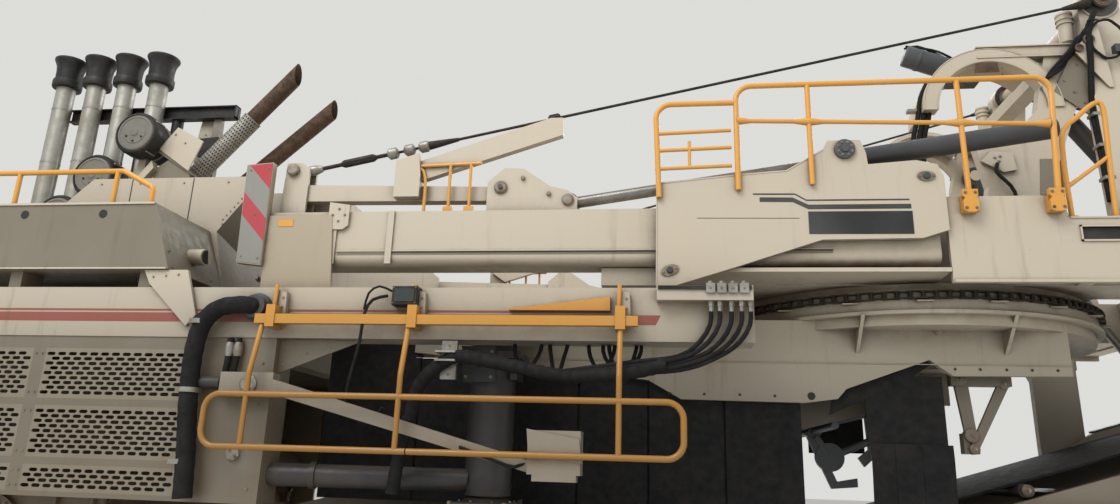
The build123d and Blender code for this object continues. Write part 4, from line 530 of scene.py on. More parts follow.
# painted shade: a band of the shaded cream under the seam's lip
girder.boxes(SHADED_CREAM, (-4.02, -2.2065, 3.515, 0.45, -2.2045, 3.541))
girder.plates(CREAM, -2.236, GIRDER_FACE, [(-4.13, 4.03), (-3.93, 4.0), (-3.93, 3.8), (-3.98, 3.76), (-4.13, 3.76)])
girder.bolt_ring((-4.03, -2.236, 3.9), 0.06, 4, 0.014)
girder.boxes(ORANGE, (-4.62, -2.2435, 3.79, -4.47, -2.2405, 3.86))
for clamp_x in (-3.05, -2.85):
    girder.boxes(ORANGE, (clamp_x, -2.16, 3.94, clamp_x + 0.09, -2.11, 4.0))
    girder.upright(clamp_x + 0.045, RAIL_Y, 3.98, 4.44, 0.016, ORANGE, 10)
girder.beads(flat(RAIL_Y, (-3.3, 4.42), (-2.7, 4.44)), 0.016, ORANGE, 10)
girder.hose(flat(RAIL_Y, (-3.24, 3.95), (-3.25, 4.3), (-3.31, 4.4), (-3.42, 4.42), (-3.5, 4.34), (-3.5, 4.1)),
            0.016, ORANGE, 10)
for pin_x, pin_z, size in ((-2.51, 4.19, 0.062), (-1.87, 4.06, 0.055), (-2.3, 4.28, 0.02), (-2.05, 4.12, 0.02),
                           (-4.6, 4.41, 0.06)):
    girder.boss(pin_x, pin_z, -2.12, -2.155, knob(size, 0.7, size * 0.8), BOLT)
girder.boss(-2.51, 4.19, -2.155, -2.175, 0.022, DARK, 16)
girder.finish()

# Front stay's clevis, turnbuckle, beads, clamp and sockets
STAY_START, STAY_END = Vector((-4.6, -2.015, 4.41)), Vector((3.48, -1.2153, 6.48))
BEAD = ((0, 0.03), (0.2, 0.058), (0.8, 0.058), (1, 0.03))
fork = Maker("stay_fittings", ROPE, "front_stay_pair", mirrored=True)
for first, last, profile, slot, count in (
        (0.008, 0.03, knob(0.05, 0.6, 0.03), ZINC, 16),
        (0.028, 0.11, 0.02, ROPE, 16),
        (0.052, 0.095, ((0, 0.022), (0.1, 0.042), (0.9, 0.042), (1, 0.022)), ROPE, 8),
        (0.108, 0.122, BEAD, ZINC, 12), (0.128, 0.142, BEAD, ZINC, 12), (0.146, 0.16, BEAD, ZINC, 12),
        (0.155, 0.195, ((0, 0.046), (0.4, 0.036), (1, 0.019)), ROPE, 16),
        (0.305, 0.32, ((0, 0.03), (0.15, 0.05), (0.85, 0.05), (1, 0.03)), ROPE, 8),
        (0.952, 0.985, ((0, 0.019), (0.5, 0.036), (1, 0.05)), ROPE, 16)):
    fork.lathe(STAY_START.lerp(STAY_END, first), STAY_START.lerp(STAY_END, last), profile, slot, count)
fork.finish()

# Slewing chain: two rows of plates with rollers between
RING_X, CHAIN_Z, CHAIN_STEPS = 1.45, 3.21, 116


def on_ring(radius, angle, z):
    return RING_X + radius * cos(angle), radius * sin(angle), z


chain = Maker("chain_links", CHAIN)
for i in range(CHAIN_STEPS):
    angle = 2 * pi * i / CHAIN_STEPS
    x, y, _ = on_ring(1.962, angle, CHAIN_Z)
    chain.upright(x, y, CHAIN_Z - 0.03, CHAIN_Z + 0.03, 0.02, CHAIN, 10)
    out = 0.0 if i % 2 else 0.006
    for level in (CHAIN_Z - 0.03 - out, CHAIN_Z + 0.022 + out):
        chain.skin([[on_ring(reach, angle + turn * pi / CHAIN_STEPS, z)
                     for turn, reach in ((-0.45, 1.938), (-0.45, 1.988), (2.45, 1.988), (2.45, 1.938))]
                    for z in (level, level + 0.008)], CHAIN)
chain.finish(replaces=("slew_chain",), smooth=False)

# Ring seat: chain guards, eye, dark slots under the lip, chassis bolt holes and edge
ring = Maker("ring_trim", mirrored=True)
for degrees_round in range(-132, -23, 18):
    x, y, _ = on_ring(1.955, radians(degrees_round), 0)
    ring.boxes(CREAM, (x - 0.07, y - 0.03, 3.15, x + 0.07, y + 0.03, 3.16))
ring.boxes(SEAL, (0.95, -1.6, 2.985, 1.22, -1.562, 3.02), (1.62, -1.6, 2.985, 1.88, -1.562, 3.02))
ring.boss(1.46, 2.96, -1.56, -1.6, stepped(0.035, 0.6, 0.61, 0.018), CREAM)
for hole_x, hole_z, hole_r in ((-0.94, 2.36, 0.012), (-0.63, 2.36, 0.012), (-0.31, 2.36, 0.012), (0.0, 2.355, 0.012),
                               (0.32, 2.36, 0.035), (1.57, 2.62, 0.012), (1.78, 2.62, 0.012), (2.0, 2.62, 0.012),
                               (2.21, 2.62, 0.012), (2.42, 2.62, 0.012)):
    ring.boss(hole_x, hole_z, -1.5605, -1.5625, hole_r, SEAL, 16)
ring.boxes(CREAM, (-3.38, -1.566, 2.655, 2.53, -1.56, 2.661))
ring.finish()

# Left and right beam: red stripes, orange wedge, hinge brackets
BEAM_FACE = -2.6
beam = Maker("beam_trim", ORANGE, mirrored=True)
beam.boxes("stripe_red", (-13.6, BEAM_FACE - 0.0015, 2.9, -1.42, BEAM_FACE, 2.918))
beam.plates("stripe_red", BEAM_FACE - 0.0015, BEAM_FACE,
            [(-13.6, 2.885), (-1.02, 2.885), (-1.06, 2.805), (-13.6, 2.805)])
beam.plates(ORANGE, -2.645, -2.602, [(-2.27, 2.925), (-1.43, 3.03), (-1.43, 2.915), (-2.27, 2.915)])
for hinge_x in (-4.3, -3.06, -1.34):
    beam.plates(CREAM, -2.66, -2.602, [(hinge_x - 0.06, 2.86), (hinge_x + 0.08, 2.86), (hinge_x + 0.07, 3.06),
                                        (hinge_x - 0.01, 3.08)])
    beam.bolt_grid(0.013, (hinge_x + 0.045,), (-2.66,), (2.93, 3.01))
    beam.beads(flat(-2.68, (hinge_x - 0.02, 2.8), (hinge_x - 0.01, 3.12)), 0.018, ORANGE, 10)
beam.finish()

# Valve block with its fittings, and the hoses that run from it along the beam
valves = Maker("valve_bank")
valves.boxes(SEAL, (-1.04, -2.735, 3.075, -0.3, -2.722, 3.105))
for section in range(4):
    left = -0.66 + section * 0.088
    valves.boxes(ZINC, (left, -2.742, 3.045, left + 0.072, -2.7, 3.125))
    valves.bolts(0.013, (left + 0.036, -2.742, 3.085))
    valves.upright(left + 0.036, -2.69, 3.125, 3.15, 0.018, ZINC, 12)
for i, (fit_x, join_x, join_z) in enumerate(((-0.62, -1.1, 2.52), (-0.55, -1.0, 2.5), (-0.46, -0.9, 2.485),
                                             (-0.38, -0.8, 2.475), (-0.31, -0.72, 2.465))):
    valves.upright(fit_x, -2.675, 2.99, 2.9, stepped(0.026, 0.45, 0.46, 0.02, 0.019), ZINC, 6)
    depth = -2.672 - 0.012 * (i % 2)
    valves.hose([(fit_x, -2.675, 2.905)] + flat(depth, (fit_x - 0.01, 2.8), (fit_x - 0.09, 2.665),
                                                (fit_x - 0.26, 2.545), (join_x - 0.16, join_z - 0.03),
                                                (join_x - 0.75, join_z - 0.115 + 0.012 * i)), 0.019, count=10)
valves.finish()

hoses = Maker("hose_bundle", RUBBER)
hoses.hose([(-0.98, -2.675, 2.475), (-1.2, -2.675, 2.42), (-1.45, -2.68, 2.385), (-1.8, -2.68, 2.375),
            (-2.18, -2.68, 2.44), (-2.6, -2.67, 2.515), (-2.76, -2.665, 2.49), (-2.99, -2.6, 2.31),
            (-3.08, -2.52, 2.05), (-3.16, -2.48, 1.75), (-3.2, -2.47, 1.42)], 0.058, count=16,
           step=0.018, rib=0.1, pitch=0.075)
hoses.hose([(-4.5, -2.605, 2.93), (-4.52, -2.69, 2.93), (-4.62, -2.71, 2.935)]
           + flat(-2.72, (-4.8, 2.9), (-4.93, 2.76), (-4.97, 2.5), (-4.95, 2.1), (-4.9, 1.7), (-4.87, 1.33)),
           0.078, count=18, step=0.03, rib=0.05, pitch=0.12)
hoses.boss(-4.5, 2.93, -2.6, -2.7, stepped(0.125, 0.35, 0.55, 0.105, 0.1), DARK, 28)
for clamp_z in (2.78, 2.2, 1.62):
    hoses.upright(-4.955, -2.72, clamp_z + 0.02, clamp_z - 0.02, 0.088, ZINC, 20)
for pipe_x, pipe_r in ((-4.7, 0.028), (-4.62, 0.022)):
    hoses.hose([(pipe_x, -2.63, 2.66), (pipe_x, -2.635, 2.45), (pipe_x - 0.02, -2.64, 2.2)], pipe_r, count=10)
    hoses.upright(pipe_x, -2.63, 2.62, 2.5, ((0, 0.034), (0.3, 0.042), (0.7, 0.042), (1, 0.034)), ZINC, 12)
hoses.boxes(ZINC, (-2.83, -2.6, 2.34, -2.7, -2.56, 2.66), (-2.85, -2.735, 2.475, -2.68, -2.56, 2.49),
            (-2.85, -2.735, 2.545, -2.68, -2.56, 2.56))
hoses.bolt_grid(0.014, (-2.765,), (-2.6,), (2.38, 2.62))
for start_x, end_x, sag in ((-2.25, -2.02, 2.43), (-1.95, -1.8, 2.36), (-1.62, -1.4, 2.42), (-1.45, -1.22, 2.33),
                            (-1.5, -1.18, 2.4)):
    hoses.hose([(start_x, -2.4, 2.66), (start_x + 0.02, -2.45, 2.56), ((start_x + end_x) / 2, -2.5, sag),
                (end_x - 0.02, -2.45, 2.56), (end_x, -2.4, 2.66)], 0.017)
hoses.hose([(-3.3, -2.7, 3.02), (-3.42, -2.73, 2.98), (-3.48, -2.735, 2.86), (-3.5, -2.74, 2.6),
            (-3.58, -2.7, 2.2), (-3.55, -2.62, 2.02), (-3.4, -2.58, 1.98), (-3.3, -2.6, 2.1)], 0.014)
hoses.hose([(-3.27, -2.7, 3.06), (-3.38, -2.71, 3.1), (-3.47, -2.71, 3.04), (-3.5, -2.705, 2.9)], 0.01)
hoses.finish(replaces=("hydraulic_hoses",))

# Lamp box on the beam
lamp = Maker("beam_lamp", PLASTIC, mirrored=True)
lamp.boxes(PLASTIC, (-3.255, -2.73, 2.945, -3.045, -2.721, 3.095))
lamp.boxes(GLASS, (-3.235, -2.738, 2.965, -3.065, -2.73, 3.075))
lamp.bolt_grid(0.007, (-3.245, -3.055), (-2.73,), (2.955, 3.085))
lamp.finish()

# Cooler grilles: sheets with staggered slots, their cream darkened as painted shade
grille = Maker("grille_sheets", "grille_paint", mirrored=True)
SLOT_PITCH_X, SLOT_PITCH_Z = 0.1045, 0.0425
SLOT_HALF_WIDE, SLOT_HALF_HIGH = 0.041, 0.015
SHEET_Y, SHEET_THICK = -2.5895, 0.01


def slot_points(x, z):
    """A slot's outline from its lower right round to the upper right, then the left end."""
    points = []
    for side in (1, -1):
        for k in range(4):
            angle = side * -pi / 2 + pi * k / 3
            points.append((x + side * (SLOT_HALF_WIDE - SLOT_HALF_HIGH) + SLOT_HALF_HIGH * cos(angle),
                           z + SLOT_HALF_HIGH * sin(angle)))
    return points


def perforated(maker, x0, x1, z0, z1):
    columns = int((x1 - x0 - 0.06) / SLOT_PITCH_X)
    rows = int((z1 - z0 - 0.03) / SLOT_PITCH_Z)
    edge_x = (x1 - x0 - (columns + 0.5) * SLOT_PITCH_X) / 2
    edge_z = (z1 - z0 - rows * SLOT_PITCH_Z) / 2
    before = len(maker.mesh.faces)

    def verts(places, y=SHEET_Y):
        return [maker.mesh.verts.new((x, y, z)) for x, z in places]

    def strip(left, right, low, high):
        maker.mesh.faces.new(verts(((left, low), (right, low), (right, high), (left, high))))

    for row in range(rows):
        low = z0 + edge_z + row * SLOT_PITCH_Z
        high = low + SLOT_PITCH_Z
        start = x0 + edge_x + (SLOT_PITCH_X / 2 if row % 2 else 0.0)
        for column in range(columns):
            left = start + column * SLOT_PITCH_X
            right_edge = left + SLOT_PITCH_X
            outline = slot_points((left + right_edge) / 2, (low + high) / 2)
            front, back = verts(outline), verts(outline, SHEET_Y + SHEET_THICK)
            corner = verts(((right_edge, low), (right_edge, high), (left, high), (left, low)))
            for face in ((corner[0], *front[:4], corner[1]), (corner[1], front[3], front[4], corner[2]),
                         (corner[2], *front[4:], corner[3]), (corner[3], front[7], front[0], corner[0])):
                maker.mesh.faces.new(face)
            for k in range(8):
                j = (k + 1) % 8
                maker.mesh.faces.new((front[k], back[k], back[j], front[j]))
        strip(x0, start, low, high)
        strip(start + columns * SLOT_PITCH_X, x1, low, high)
    strip(x0, x1, z0, z0 + edge_z)
    strip(x0, x1, z1 - edge_z, z1)
    maker.dress(before, "grille_paint")


PANEL_FOOT, PANEL_FRONT = 1.34, -8.59
for column, tier in product(range(3), range(3)):
    panel_right = -5.05 - column * 1.54
    panel_left = max(panel_right - 1.42, PANEL_FRONT)
    panel_top = 2.56 - tier * 0.5
    panel_foot = max(panel_top - 0.44, PANEL_FOOT)
    perforated(grille, panel_left, panel_right, panel_foot, panel_top)
    grille.boxes(SEAL, (panel_left, -2.5, panel_foot, panel_right, -2.495, panel_top))
    grille.bolt_grid(0.012, (panel_left - 0.03, panel_right + 0.03), (-2.59,), (panel_foot + 0.05, panel_top - 0.05))
grille.bolt_grid(0.016, (-4.4,), (-2.59,), (1.42, 1.75, 2.1, 2.45))
grille.finish(replaces=("cooler_grilles",), smooth=False)

# Air intakes: bands on the stacks, caps with a deep collar and a rolled lip, a dark cylinder behind each stack and the
# beam behind
intake = Maker("intake_stacks", STACK)
CAP = ((0.0, 0.128), (0.015, 0.176), (0.06, 0.182), (0.22, 0.182), (0.26, 0.176), (0.27, 0.16), (0.55, 0.162),
       (0.72, 0.17), (0.84, 0.188), (0.92, 0.206), (0.96, 0.21), (0.99, 0.206), (1.0, 0.196))
for stack_x in (-9.24, -8.78, -8.32, -7.84):
    intake.upright(stack_x, 0, 4.44, 6.66, 0.118, STACK, 32)
    for band_z in (4.62, 5.42, 6.2):
        intake.upright(stack_x, 0, band_z, band_z + 0.022, 0.1215, ZINC, 32)
    intake.upright(stack_x, 0, 6.54, 6.97, CAP, PLASTIC, 48)
    intake.upright(stack_x, 0, 6.9665, 6.9695, 0.175, SEAL, 32)
    # a dark cylinder behind and beside each stack
    intake.upright(stack_x + 0.23, 0.2, 4.46, 6.12, 0.075, PLASTIC, 24)
intake.boxes(PLASTIC, (-9.2, 0.1, 6.1, -6.72, 0.22, 6.115), (-9.2, 0.154, 6.115, -6.72, 0.166, 6.265),
             (-9.2, 0.1, 6.265, -6.72, 0.22, 6.28), (-6.74, 0.1, 6.1, -6.72, 0.22, 6.28))
intake.finish(replaces=("air_intakes", "intake_caps"))

filters = Maker("filter_housings", PLASTIC)
RIM = ((0, 0.2), (0.03, 0.255), (0.3, 0.262), (0.55, 0.262), (0.57, 0.276), (0.61, 0.285), (0.86, 0.285),
       (0.91, 0.279), (0.95, 0.262), (0.955, 0.244), (0.9, 0.238))
COVER = ((0, 0.24), (0.55, 0.238), (0.74, 0.226), (0.78, 0.205), (0.66, 0.198), (0.66, 0.15), (0.78, 0.142),
         (0.74, 0.085), (0.82, 0.055), (0.97, 0.046), (1.0, 0.036))
LOW_FILTER = (-8.43, 4.47)
for filter_x, filter_z in ((-7.56, 5.56), (-8.03, 5.0), LOW_FILTER):
    filters.boss(filter_x, filter_z, -0.137, -0.67, RIM, PLASTIC, 56)
    filters.boss(filter_x, filter_z, -0.6, -0.668, COVER, "grey_cover", 56)
    for k in range(3):
        at = radians(205 + 62 * k)
        filters.boss(filter_x + 0.115 * cos(at), filter_z + 0.115 * sin(at), -0.645, -0.662, ((0, 0.018), (1, 0.012)),
                     PLASTIC, 10)
    for k in range(4):
        at = radians(35 + 90 * k)
        filters.boss(filter_x + 0.29 * cos(at), filter_z + 0.29 * sin(at), -0.44, -0.6, 0.011, ZINC, 8)
    filters.boss(filter_x, filter_z, -0.3, -0.33, 0.269, ZINC, 48)
    if (filter_x, filter_z) != LOW_FILTER:
        filters.boxes(CREAM, (filter_x - 0.05, -0.42, 4.46, filter_x + 0.05, -0.3, filter_z - 0.25))
filters.finish(replaces=("air_filters",))

# Exhausts: rusty pipes cut upright at the mouth, a perforated shield round the first
pipes = Maker("exhaust_pipes", EXHAUST)
PIPE_R, PIPE_WALL, SHEET_WALL = 0.105, 0.008, 0.006
FIRST_PIPE = (Vector((-7.3, 0, 4.96)), Vector((-5.84, 0, 6.64)))


def add_stack(maker, start, end):
    """A pipe whose mouth is cut upright across X, open for 0.9 m."""
    axis = (end - start).normalized()
    rings = [circle(start, axis, PIPE_R, 32)]
    for wide in (PIPE_R, PIPE_R - PIPE_WALL):
        rings.append([spot + axis * ((end.x - spot.x) / axis.x) for spot in circle(end, axis, wide, 32)])
    rings.append(circle(end - axis * 0.9, axis, PIPE_R - PIPE_WALL, 32))
    maker.skin(rings, EXHAUST)


def add_shield(maker, start, end, radius, around=22, along=26):
    """A round sheet with holes in staggered rows."""
    axis = end - start
    side = axis.orthogonal().normalized()
    other = axis.normalized().cross(side)
    before = len(maker.mesh.faces)

    def verts(places, wide=radius):
        made = []
        for u, v in places:
            at = 2 * pi * u / around
            made.append(maker.mesh.verts.new(start + axis * (v / along) + (side * cos(at) + other * sin(at)) * wide))
        return made

    for v, column in product(range(along), range(around)):
        u = column + (0.5 if v % 2 else 0.0)
        corner = verts(((u, v), (u + 1, v), (u + 1, v + 1), (u, v + 1)))
        hole = [(u + 0.5 + 0.3 * cos(pi / 4 * k - 3 * pi / 4), v + 0.5 + 0.3 * sin(pi / 4 * k - 3 * pi / 4))
                for k in range(8)]
        front, back = verts(hole), verts(hole, radius - SHEET_WALL)
        for k in range(4):
            maker.mesh.faces.new((corner[k], corner[(k + 1) % 4], front[(2 * k + 2) % 8], front[2 * k + 1],
                                  front[2 * k]))
        for k in range(8):
            j = (k + 1) % 8
            maker.mesh.faces.new((front[k], front[j], back[j], back[k]))
    maker.dress(before, STACK)


for foot, mouth in (FIRST_PIPE, (Vector((-6.96, 0.42, 4.96)), Vector((-5.47, 0.42, 6.32)))):
    add_stack(pipes, foot, mouth)
    pipes.upright(foot.x + 0.06, foot.y, 4.5, foot.z + 0.08, PIPE_R, EXHAUST)
    pipes.upright(foot.x + 0.06, foot.y, 4.5, 4.54, 0.17, EXHAUST)
add_shield(pipes, FIRST_PIPE[0].lerp(FIRST_PIPE[1], 0.08), FIRST_PIPE[0].lerp(FIRST_PIPE[1], 0.62), 0.124)
for share in (0.08, 0.615):
    pipes.lathe(FIRST_PIPE[0].lerp(FIRST_PIPE[1], share), FIRST_PIPE[0].lerp(FIRST_PIPE[1], share + 0.008), 0.127,
                ZINC, 32)
pipes.finish(replaces=("exhausts",))

# Folded brackets beside the pipes and the post that carries the black beam; their webs and side faces take the shaded
# cream, painted shade
stand = Maker("stack_brackets")
FOLDED = [(-7.326, 5.408), (-7.116, 5.703), (-6.744, 5.503), (-6.885, 5.108)]
stand.plates(CREAM, -0.46, -0.44, FOLDED)
stand.plates(SHADED_CREAM, -0.44, -0.2, [FOLDED[0], FOLDED[3], (-6.865, 5.075), (-7.345, 5.372)])
stand.plates(SHADED_CREAM, -0.42, -0.4, [(-7.4, 5.13), (-7.12, 5.33), (-6.88, 5.1), (-6.9, 4.46), (-7.2, 4.46)])
stand.plates(CREAM, -0.5, -0.4, [(-7.64, 4.87), (-7.37, 5.24), (-7.33, 5.14), (-7.59, 4.8)])
stand.boxes(SHADED_CREAM, (-7.62, -0.48, 4.46, -7.54, -0.4, 4.9))
stand.bolts(0.016, *flat(-0.46, (-7.13, 5.6), (-6.98, 5.48)),
            *flat(0.22, (-7.16, 6.14), (-7.18, 5.9), (-7.2, 5.2), (-7.2, 4.8)))
stand.plates(CREAM, 0.22, 0.24, [(-7.295, 4.46), (-7.292, 5.867), (-7.239, 6.327), (-7.05, 6.31), (-7.06, 5.75),
                                 (-7.1, 4.46)])
stand.plates(SHADED_CREAM, 0.16, 0.24, [(-7.06, 5.75), (-7.05, 6.31), (-6.952, 6.296), (-6.941, 5.685), (-6.98, 4.46),
                                (-7.1, 4.46)])
stand.plates(PLASTIC, 0.02, 0.14, [(-7.12, 5.5), (-7.13, 5.76), (-6.86, 5.78), (-6.84, 5.52)])
stand.finish()

# Side decks: holes under the rim, folded rim, pipe stub and chute plate at the rear end
deck = Maker("deck_trim", mirrored=True)
for hole_x in (-10.1, -9.3, -8.5, -7.7, -6.92, -6.12):
    deck.boss(hole_x, 3.795, -2.6605, -2.664, 0.04, SEAL)
deck.boxes(CREAM, (-10.5, -2.672, 3.885, -5.62, -2.655, 3.905), (-10.5, -2.668, 3.27, -5.4, -2.655, 3.285))
deck.lathe((-5.52, -2.2, 3.5), (-5.3, -2.24, 3.49), 0.078, CREAM, 28)
deck.lathe((-5.299, -2.24, 3.49), (-5.296, -2.24, 3.49), 0.066, SEAL, 28)
deck.bolts(0.014, (-5.38, -2.6, 3.3), (-5.4, -1.95, 3.33), (-5.44, -2.6, 3.45), direction=REAR)
deck.plates(CREAM, -2.64, -2.61, [(-5.62, 3.265), (-5.2, 3.265), (-5.06, 2.86), (-5.14, 2.76), (-5.55, 3.14)])
deck.bolts(0.012, *flat(-2.64, (-5.52, 3.2), (-5.4, 3.21), (-5.28, 3.22)))
deck.finish()

# Hood: full height over the engine's rear, shoulders slanted off ahead of it
hood = Maker("hood_shell")
HOOD_Y, HOOD_LOW, HOOD_TOP = 1.75, 4.46, 4.5
rings = []
for y, shoulder, rear_x in ((-HOOD_Y, 4.12, -5.25), (-0.95, HOOD_LOW, -5.47), (0.95, HOOD_LOW, -5.47),
                            (HOOD_Y, 4.12, -5.25)):
    rings.append(flat(y, (-9.95, 3.115), (-9.95, shoulder), (-7.45, shoulder), (-7.05, HOOD_TOP), (rear_x, HOOD_TOP),
                      (rear_x, 4.3), (rear_x - 0.3, 3.9), (rear_x - 0.1, 3.115)))
hood.skin(rings, CREAM)
for side, way in ((-1, LEFT), (1, RIGHT)):
    face = side * HOOD_Y
    for joint_x, joint_top in ((-9.0, 4.1), (-8.2, 4.1), (-7.45, 4.1), (-6.6, 4.49), (-5.9, 4.49)):
        hood.boxes(SEAL, (joint_x, face - 0.002, 3.92, joint_x + 0.01, face + 0.002, joint_top))
    hood.bolt_grid(0.012, (-6.95, -6.5, -6.0, -5.5), (face,), (3.98, 4.44), direction=way)
    hood.bolts(0.011, *((-5.29 - 0.035 * k, face, 4.3 - 0.045 * k) for k in range(7)), direction=way)
for (panel_x, low), panel_y in product(((-9.75, HOOD_LOW), (-6.75, HOOD_TOP), (-5.98, HOOD_TOP)), (-0.8, 0.06)):
    hood.boxes(PLASTIC, (panel_x, panel_y, low, panel_x + 0.66, panel_y + 0.74, low + 0.018))
    for bar in range(12):
        bar_x = panel_x + 0.03 + bar * 0.052
        hood.boxes(DARK, (bar_x, panel_y + 0.03, low + 0.018, bar_x + 0.022, panel_y + 0.71, low + 0.034))
for (eye_x, low), eye_y in product(((-9.85, HOOD_LOW), (-5.7, HOOD_TOP)), (-0.9, 0.9)):
    hood.plates(CREAM, eye_y - 0.012, eye_y + 0.012, lug(eye_x, low, 0.07, 0.035, 0.12))
hood.finish(replaces=("engine_hood",))

# Side arms: pin, cylinder eye and the box at the end
arm = Maker("arm_trim", DARK, mirrored=True)
arm.lathe((-4.98, -2.66, 2.27), (-4.6, -2.66, 2.27), stepped(0.055, 0.7, 0.72, 0.042), DARK, 20)
arm.boss(-4.44, 2.26, -2.69, -2.74, knob(0.075, 0.7, 0.055), ZINC)
arm.bolt_ring((-4.44, -2.735, 2.26), 0.05, 6, 0.01)
arm.plates(CREAM, -2.812, -2.8, [(-2.05, 1.95), (-1.64, 1.88), (-1.62, 1.7), (-2.03, 1.75)])
arm.boxes(CREAM, (-2.0, -2.8, 1.56, -1.66, -2.66, 1.61))
arm.hose([(-2.02, -2.68, 1.72), (-2.15, -2.72, 1.66), (-2.3, -2.72, 1.7), (-2.6, -2.71, 1.8)], 0.013)
arm.boss(-4.55, 1.7, -2.59, -2.62, ((0, 0.065), (1, 0.06)), ZINC, 6)
arm.bolt_ring((-4.55, -2.62, 1.7), 0.035, 2, 0.016)
arm.finish()

# Pylons: bolted arch faces, beam flanges, diamond plates in the shaded cream (painted shade), the cylinder over the
# vault and its hoses
pylon = Maker("pylon_trim", CREAM, "upper", mirrored=True)
ARCH_FACE, ARCH_X, ARCH_Z = -1.29, 2.29, 5.275
pylon.bolts(0.016, *flat(ARCH_FACE, (2.124, 5.712), (2.123, 5.635), (2.418, 5.713), (2.41, 5.642), (1.997, 5.634),
                         (1.83, 5.5), (2.6, 5.62), (2.76, 5.48)))
pylon.plates(EXHAUST, ARCH_FACE - 0.002, ARCH_FACE, [(2.15, 5.665), (2.39, 5.665), (2.38, 5.77), (2.17, 5.77)])
for rim_r in (0.66, 0.522):
    pylon.beads([(ARCH_X + rim_r * cos(pi * k / 24), ARCH_FACE, ARCH_Z + rim_r * sin(pi * k / 24))
                 for k in range(25)], 0.006, CREAM, 6)
pylon.boxes(CREAM, (2.19, -1.3, 5.828, 3.1, -1.16, 5.84), (2.19, -1.3, 5.948, 3.1, -1.16, 5.96),
            (2.0, -1.33, 3.9, 2.96, -1.27, 3.925))
# painted shade: the bolted diamond plate takes the shaded cream
pylon.plates(SHADED_CREAM, -1.292, -1.274, [(3.137, 5.934), (3.345, 5.56), (3.159, 5.179), (2.871, 5.435)])
pylon.bolts(0.016, *flat(-1.292, (3.12, 5.72), (3.2, 5.5), (3.06, 5.42), (2.98, 5.55), (3.14, 5.3)))
pylon.plates(CREAM, -1.31, -1.27, [(2.1, 4.7), (2.2, 4.8), (2.4, 4.78), (2.42, 4.6), (2.3, 4.58)])
pylon.bolt_ring((2.26, -1.31, 4.72), 0.03, 3, 0.016)
# painted shade: a small plate in the shaded cream
pylon.plates(SHADED_CREAM, -1.275, -1.27, [(2.62, 4.35), (2.8, 4.35), (2.78, 4.72), (2.66, 4.72)])
pylon.bolts(0.02, *flat(-1.275, (2.15, 3.955), (2.45, 3.955), (2.8, 3.955)))
pylon.finish()

over = Maker("vault_cylinder", DARK, "upper")
over.lathe((1.7, -0.62, 6.26), (2.36, -0.62, 5.99),
           ((0, 0.105), (0.02, 0.118), (0.2, 0.118), (0.21, 0.124), (0.25, 0.124), (0.26, 0.118), (1, 0.118)),
           DARK, 32)
over.plates(DARK, -0.8, -0.48, [(2.1, 5.9), (2.46, 5.9), (2.38, 6.04), (2.16, 6.06)])
for drop in (0.0, 0.05):
    over.hose([(1.72, -0.6 - drop, 6.36), (1.86, -0.6 - drop, 6.385 - drop), (2.05, -0.62 - drop, 6.27),
               (2.25, -0.64 - drop, 6.12), (2.4, -0.7 - drop, 5.95)], 0.013)
over.finish()

lines = Maker("arch_hoses", RUBBER, "upper", mirrored=True)
for shift in (0.0, 0.055, 0.105):
    lines.hose([(1.72 + shift, -1.16, 5.62), (1.64 + shift, -1.18, 5.45), (1.59 + shift, -1.19, 5.22),
                (1.53 + shift, -1.18, 4.98), (1.5 + shift, -1.15, 4.5), (1.52 + shift, -1.12, 3.95)], 0.026, count=10)
lines.hose([(2.24, -1.33, 4.66), (2.21, -1.36, 4.56), (2.28, -1.36, 4.47), (2.36, -1.34, 4.36), (2.38, -1.31, 4.1),
            (2.38, -1.29, 3.93)], 0.018, count=10)
for clamp_z in (5.3, 4.7, 4.2):
    lines.boxes(ZINC, (1.5, -1.2, clamp_z, 1.74, -1.13, clamp_z + 0.03))
lines.finish()

# Rails: knee rail collars, the small gate beside the mast's foot and the inner hoop
gates = Maker("gate_rails", ORANGE, "upper", mirrored=True)
UPPER_RAIL_Y = -2.325
for post_x, knee_z, sides in ((-0.34, 4.72, (1,)), (0.29, 4.695, (-1, 1)), (1.56, 4.647, (-1, 1)),
                              (2.27, 4.622, (-1,))):
    for side in sides:
        gates.lathe((post_x + side * 0.13, UPPER_RAIL_Y, knee_z - side * 0.005), (post_x, UPPER_RAIL_Y, knee_z),
                    ((0, 0.02), (1, 0.038)), ORANGE, 16)
gates.hose(flat(-2.2, (2.4, 3.81), (2.4, 4.3), (2.43, 4.6), (2.55, 4.72), (2.7, 4.85), (2.77, 4.85),
                (2.78, 4.7), (2.76, 4.3), (2.74, 3.81)), 0.022, ORANGE, 12)
gates.hose(flat(-0.9, (2.62, 3.9), (2.645, 4.4), (2.69, 4.71), (2.8, 4.86), (3.0, 4.9), (3.02, 4.8)), 0.018,
           ORANGE, 12)
for bar, radius in ((flat(-2.2, (2.76, 4.36), (2.4, 4.09)), 0.018),
                    (flat(UPPER_RAIL_Y, (-1.065, 4.61), (-0.39, 4.63)), 0.017),
                    (flat(UPPER_RAIL_Y, (-1.065, 4.445), (-0.39, 4.465)), 0.017),
                    (flat(UPPER_RAIL_Y, (-1.065, 4.27), (-0.39, 4.29)), 0.017),
                    (flat(UPPER_RAIL_Y, (-0.76, 4.53), (-0.76, 4.28)), 0.015),
                    (flat(-0.9, (3.02, 4.82), (2.98, 3.9)), 0.018)):
    gates.beads(bar, radius, ORANGE, 12)
for foot_x, foot_y, foot_z in ((2.4, -2.2, 3.81), (2.74, -2.2, 3.81), (2.62, -0.9, 3.9), (2.98, -0.9, 3.9)):
    gates.upright(foot_x, foot_y, foot_z, foot_z + 0.012, 0.05, ORANGE, 20)
gates.finish()

